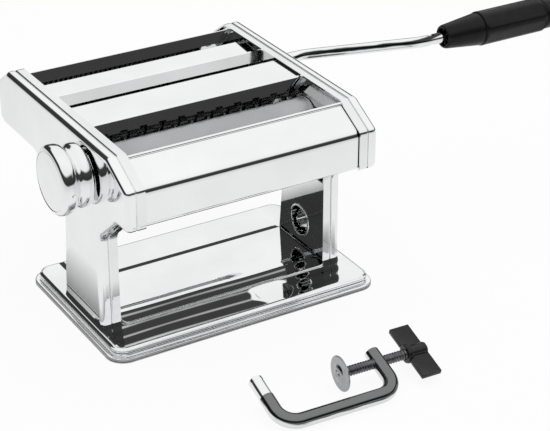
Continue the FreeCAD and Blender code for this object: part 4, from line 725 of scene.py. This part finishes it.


# Table: white, with a faint shadow of the object. Polished metal sees it bright, fading with distance,
# with painted shade close beside the base, where the base would shade it.
TABLE_HALF = 8.0
TABLE_DROP = 0.0004
MIRRORED_SHARE = 0.75
SEEN_SHARE = 0.92
GLOW_NEAR = 0.95
GLOW_FAR = 0.74
GLOW_FADE = (0.10, 0.75)
CONTACT_SHADE = 0.22
CONTACT_MARGIN = (0.002, 0.028)
floor_work = bmesh.new()
bmesh.ops.create_grid(floor_work, x_segments=1, y_segments=1, size=TABLE_HALF)
floor_mesh = bpy.data.meshes.new("table")
floor_work.to_mesh(floor_mesh)
floor_work.free()
floor = bpy.data.objects.new("table", floor_mesh)
bpy.context.scene.collection.objects.link(floor)
floor.location.z = -TABLE_DROP

table_white = bpy.data.materials.new("table_white")
table_white.use_nodes = True
tree = table_white.node_tree
tree.nodes.remove(tree.nodes["Principled BSDF"])
rays = tree.nodes.new("ShaderNodeLightPath")
spot = tree.nodes.new("ShaderNodeTexCoord").outputs["Object"]
from_middle = tree.nodes.new("ShaderNodeVectorMath")
from_middle.operation = "LENGTH"
wire(tree, spot, from_middle.inputs[0])
across = tree.nodes.new("ShaderNodeSeparateXYZ")
wire(tree, spot, across.inputs[0])
low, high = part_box("base_plate")
beside = reckon(tree, "SUBTRACT", reckon(tree, "ABSOLUTE", across.outputs["X"]), constant=high.x)
before = reckon(tree, "SUBTRACT", reckon(tree, "ABSOLUTE", across.outputs["Y"]), constant=high.y)
contact_shade = graded(tree, reckon(tree, "MAXIMUM", beside, before), CONTACT_SHADE, 1.0, *CONTACT_MARGIN)
far_glow = graded(tree, from_middle.outputs["Value"], GLOW_NEAR, GLOW_FAR, *GLOW_FADE)

paper = tree.nodes.new("ShaderNodeBsdfDiffuse")
paper.inputs["Color"].default_value = (0.86, 0.86, 0.86, 1)
glow = tree.nodes.new("ShaderNodeEmission")
wire(tree, reckon(tree, "MULTIPLY", far_glow, contact_shade), glow.inputs["Strength"])
white_paper = tree.nodes.new("ShaderNodeEmission")
white_paper.inputs["Strength"].default_value = 1.0


def mixed_shader(share, under, over):
    """Two shaders of the table mixed by a share."""
    blend = tree.nodes.new("ShaderNodeMixShader")
    wire(tree, share, blend.inputs["Fac"])
    wire(tree, under, blend.inputs[1])
    wire(tree, over, blend.inputs[2])
    return blend.outputs[0]


mirrored = reckon(tree, "MULTIPLY", rays.outputs["Is Glossy Ray"], constant=MIRRORED_SHARE)
seen = reckon(tree, "MULTIPLY", rays.outputs["Is Camera Ray"], constant=SEEN_SHARE)
lit_paper = mixed_shader(mirrored, paper.outputs[0], glow.outputs[0])
surface = mixed_shader(seen, lit_paper, white_paper.outputs[0])
wire(tree, surface, tree.nodes["Material Output"].inputs["Surface"])
floor_mesh.materials.append(table_white)


# Studio: white overhead and white behind the object, with dark surroundings that stand low all round
# and higher in front and at the back left, as the polished metal shows them.
world = bpy.data.worlds.new("studio")
bpy.context.scene.world = world
world.use_nodes = True
tree = world.node_tree
way = tree.nodes.new("ShaderNodeTexCoord").outputs["Generated"]
split = tree.nodes.new("ShaderNodeSeparateXYZ")
wire(tree, way, split.inputs[0])


def sky_bands(stops):
    """Brightness of the studio by height, the sine of the elevation."""
    ramp = tree.nodes.new("ShaderNodeValToRGB")
    band = ramp.color_ramp
    while len(band.elements) < len(stops):
        band.elements.new(0.5)
    for element, (height, level) in zip(band.elements, stops):
        element.position = height
        element.color = (level, level, level, 1)
    wire(tree, split.outputs["Z"], ramp.inputs["Fac"])
    return ramp.outputs["Color"]


def towards(direction, start, end):
    """How far a direction in the studio turns towards the given one."""
    facing = tree.nodes.new("ShaderNodeVectorMath")
    facing.operation = "DOT_PRODUCT"
    facing.inputs[1].default_value = direction
    wire(tree, way, facing.inputs[0])
    return graded(tree, facing.outputs["Value"], 0.0, 1.0, start, end)


def mixed_light(share, under, over):
    """Two brightnesses mixed by a share, each a socket or a plain grey."""
    blend = tree.nodes.new("ShaderNodeMix")
    blend.data_type = "RGBA"
    wire(tree, share, blend.inputs["Factor"])
    for name, light in (("A", under), ("B", over)):
        if isinstance(light, float):
            blend.inputs[name].default_value = (light, light, light, 1)
        else:
            wire(tree, light, blend.inputs[name])
    return blend.outputs["Result"]


FRONT_WAY = (-0.47, -0.88, 0.0)
FRONT_EDGE = (0.05, 0.45)
BACK_LEFT_WAY = (-0.75, 0.66, 0.0)
BACK_LEFT_EDGE = (0.50, 0.62)
DIFFUSE_LIGHT = 0.55
WHITE = 1.0
around = sky_bands([(0.0, 0.50), (0.06, 0.05), (0.29, 0.05), (0.36, 0.95), (1.0, 1.0)])
in_front = sky_bands([(0.0, 0.30), (0.05, 0.03), (0.43, 0.05), (0.55, 0.92), (1.0, 1.0)])
back_left = sky_bands([(0.0, 0.40), (0.05, 0.03), (0.55, 0.04), (0.63, 0.95), (1.0, 1.0)])
studio = mixed_light(towards(FRONT_WAY, *FRONT_EDGE), around, in_front)
studio = mixed_light(towards(BACK_LEFT_WAY, *BACK_LEFT_EDGE), studio, back_left)
rays = tree.nodes.new("ShaderNodeLightPath")
studio = mixed_light(rays.outputs["Is Glossy Ray"], DIFFUSE_LIGHT, studio)
studio = mixed_light(rays.outputs["Is Camera Ray"], studio, WHITE)
wire(tree, studio, tree.nodes["Background"].inputs["Color"])


# Softbox: one large soft lamp overhead, which the metal does not mirror.
# It gives the table its faint shadow.
SOFTBOX_SIZE = 2.2
SOFTBOX_PLACE = (0.1, 0.1, 1.9)
SOFTBOX_WATTS = 22.0
softbox_light = bpy.data.lights.new("overhead_softbox", "AREA")
softbox_light.shape = "RECTANGLE"
softbox_light.size = SOFTBOX_SIZE
softbox_light.size_y = SOFTBOX_SIZE
softbox_light.energy = SOFTBOX_WATTS
softbox = bpy.data.objects.new("overhead_softbox", softbox_light)
softbox.location = SOFTBOX_PLACE
softbox.visible_glossy = False
bpy.context.scene.collection.objects.link(softbox)


# Camera: the photograph's place and view, from the front left and above.
# Its lens was solved together with the object's corners.
CAMERA_PLACE = Vector((-0.5164, -0.9632, 0.6340))
CAMERA_LOOK = Vector((0.4531, 0.7578, -0.4695))
LENS = 116.1
SENSOR = 36.0
camera_data = bpy.data.cameras.new("photo_camera")
camera_data.sensor_fit = "HORIZONTAL"
camera_data.sensor_width = SENSOR
camera_data.lens = LENS
camera = bpy.data.objects.new("photo_camera", camera_data)
camera.location = CAMERA_PLACE
camera.rotation_euler = CAMERA_LOOK.to_track_quat("-Z", "Y").to_euler()
bpy.context.scene.collection.objects.link(camera)
bpy.context.scene.camera = camera
bpy.context.scene.view_settings.view_transform = "Standard"
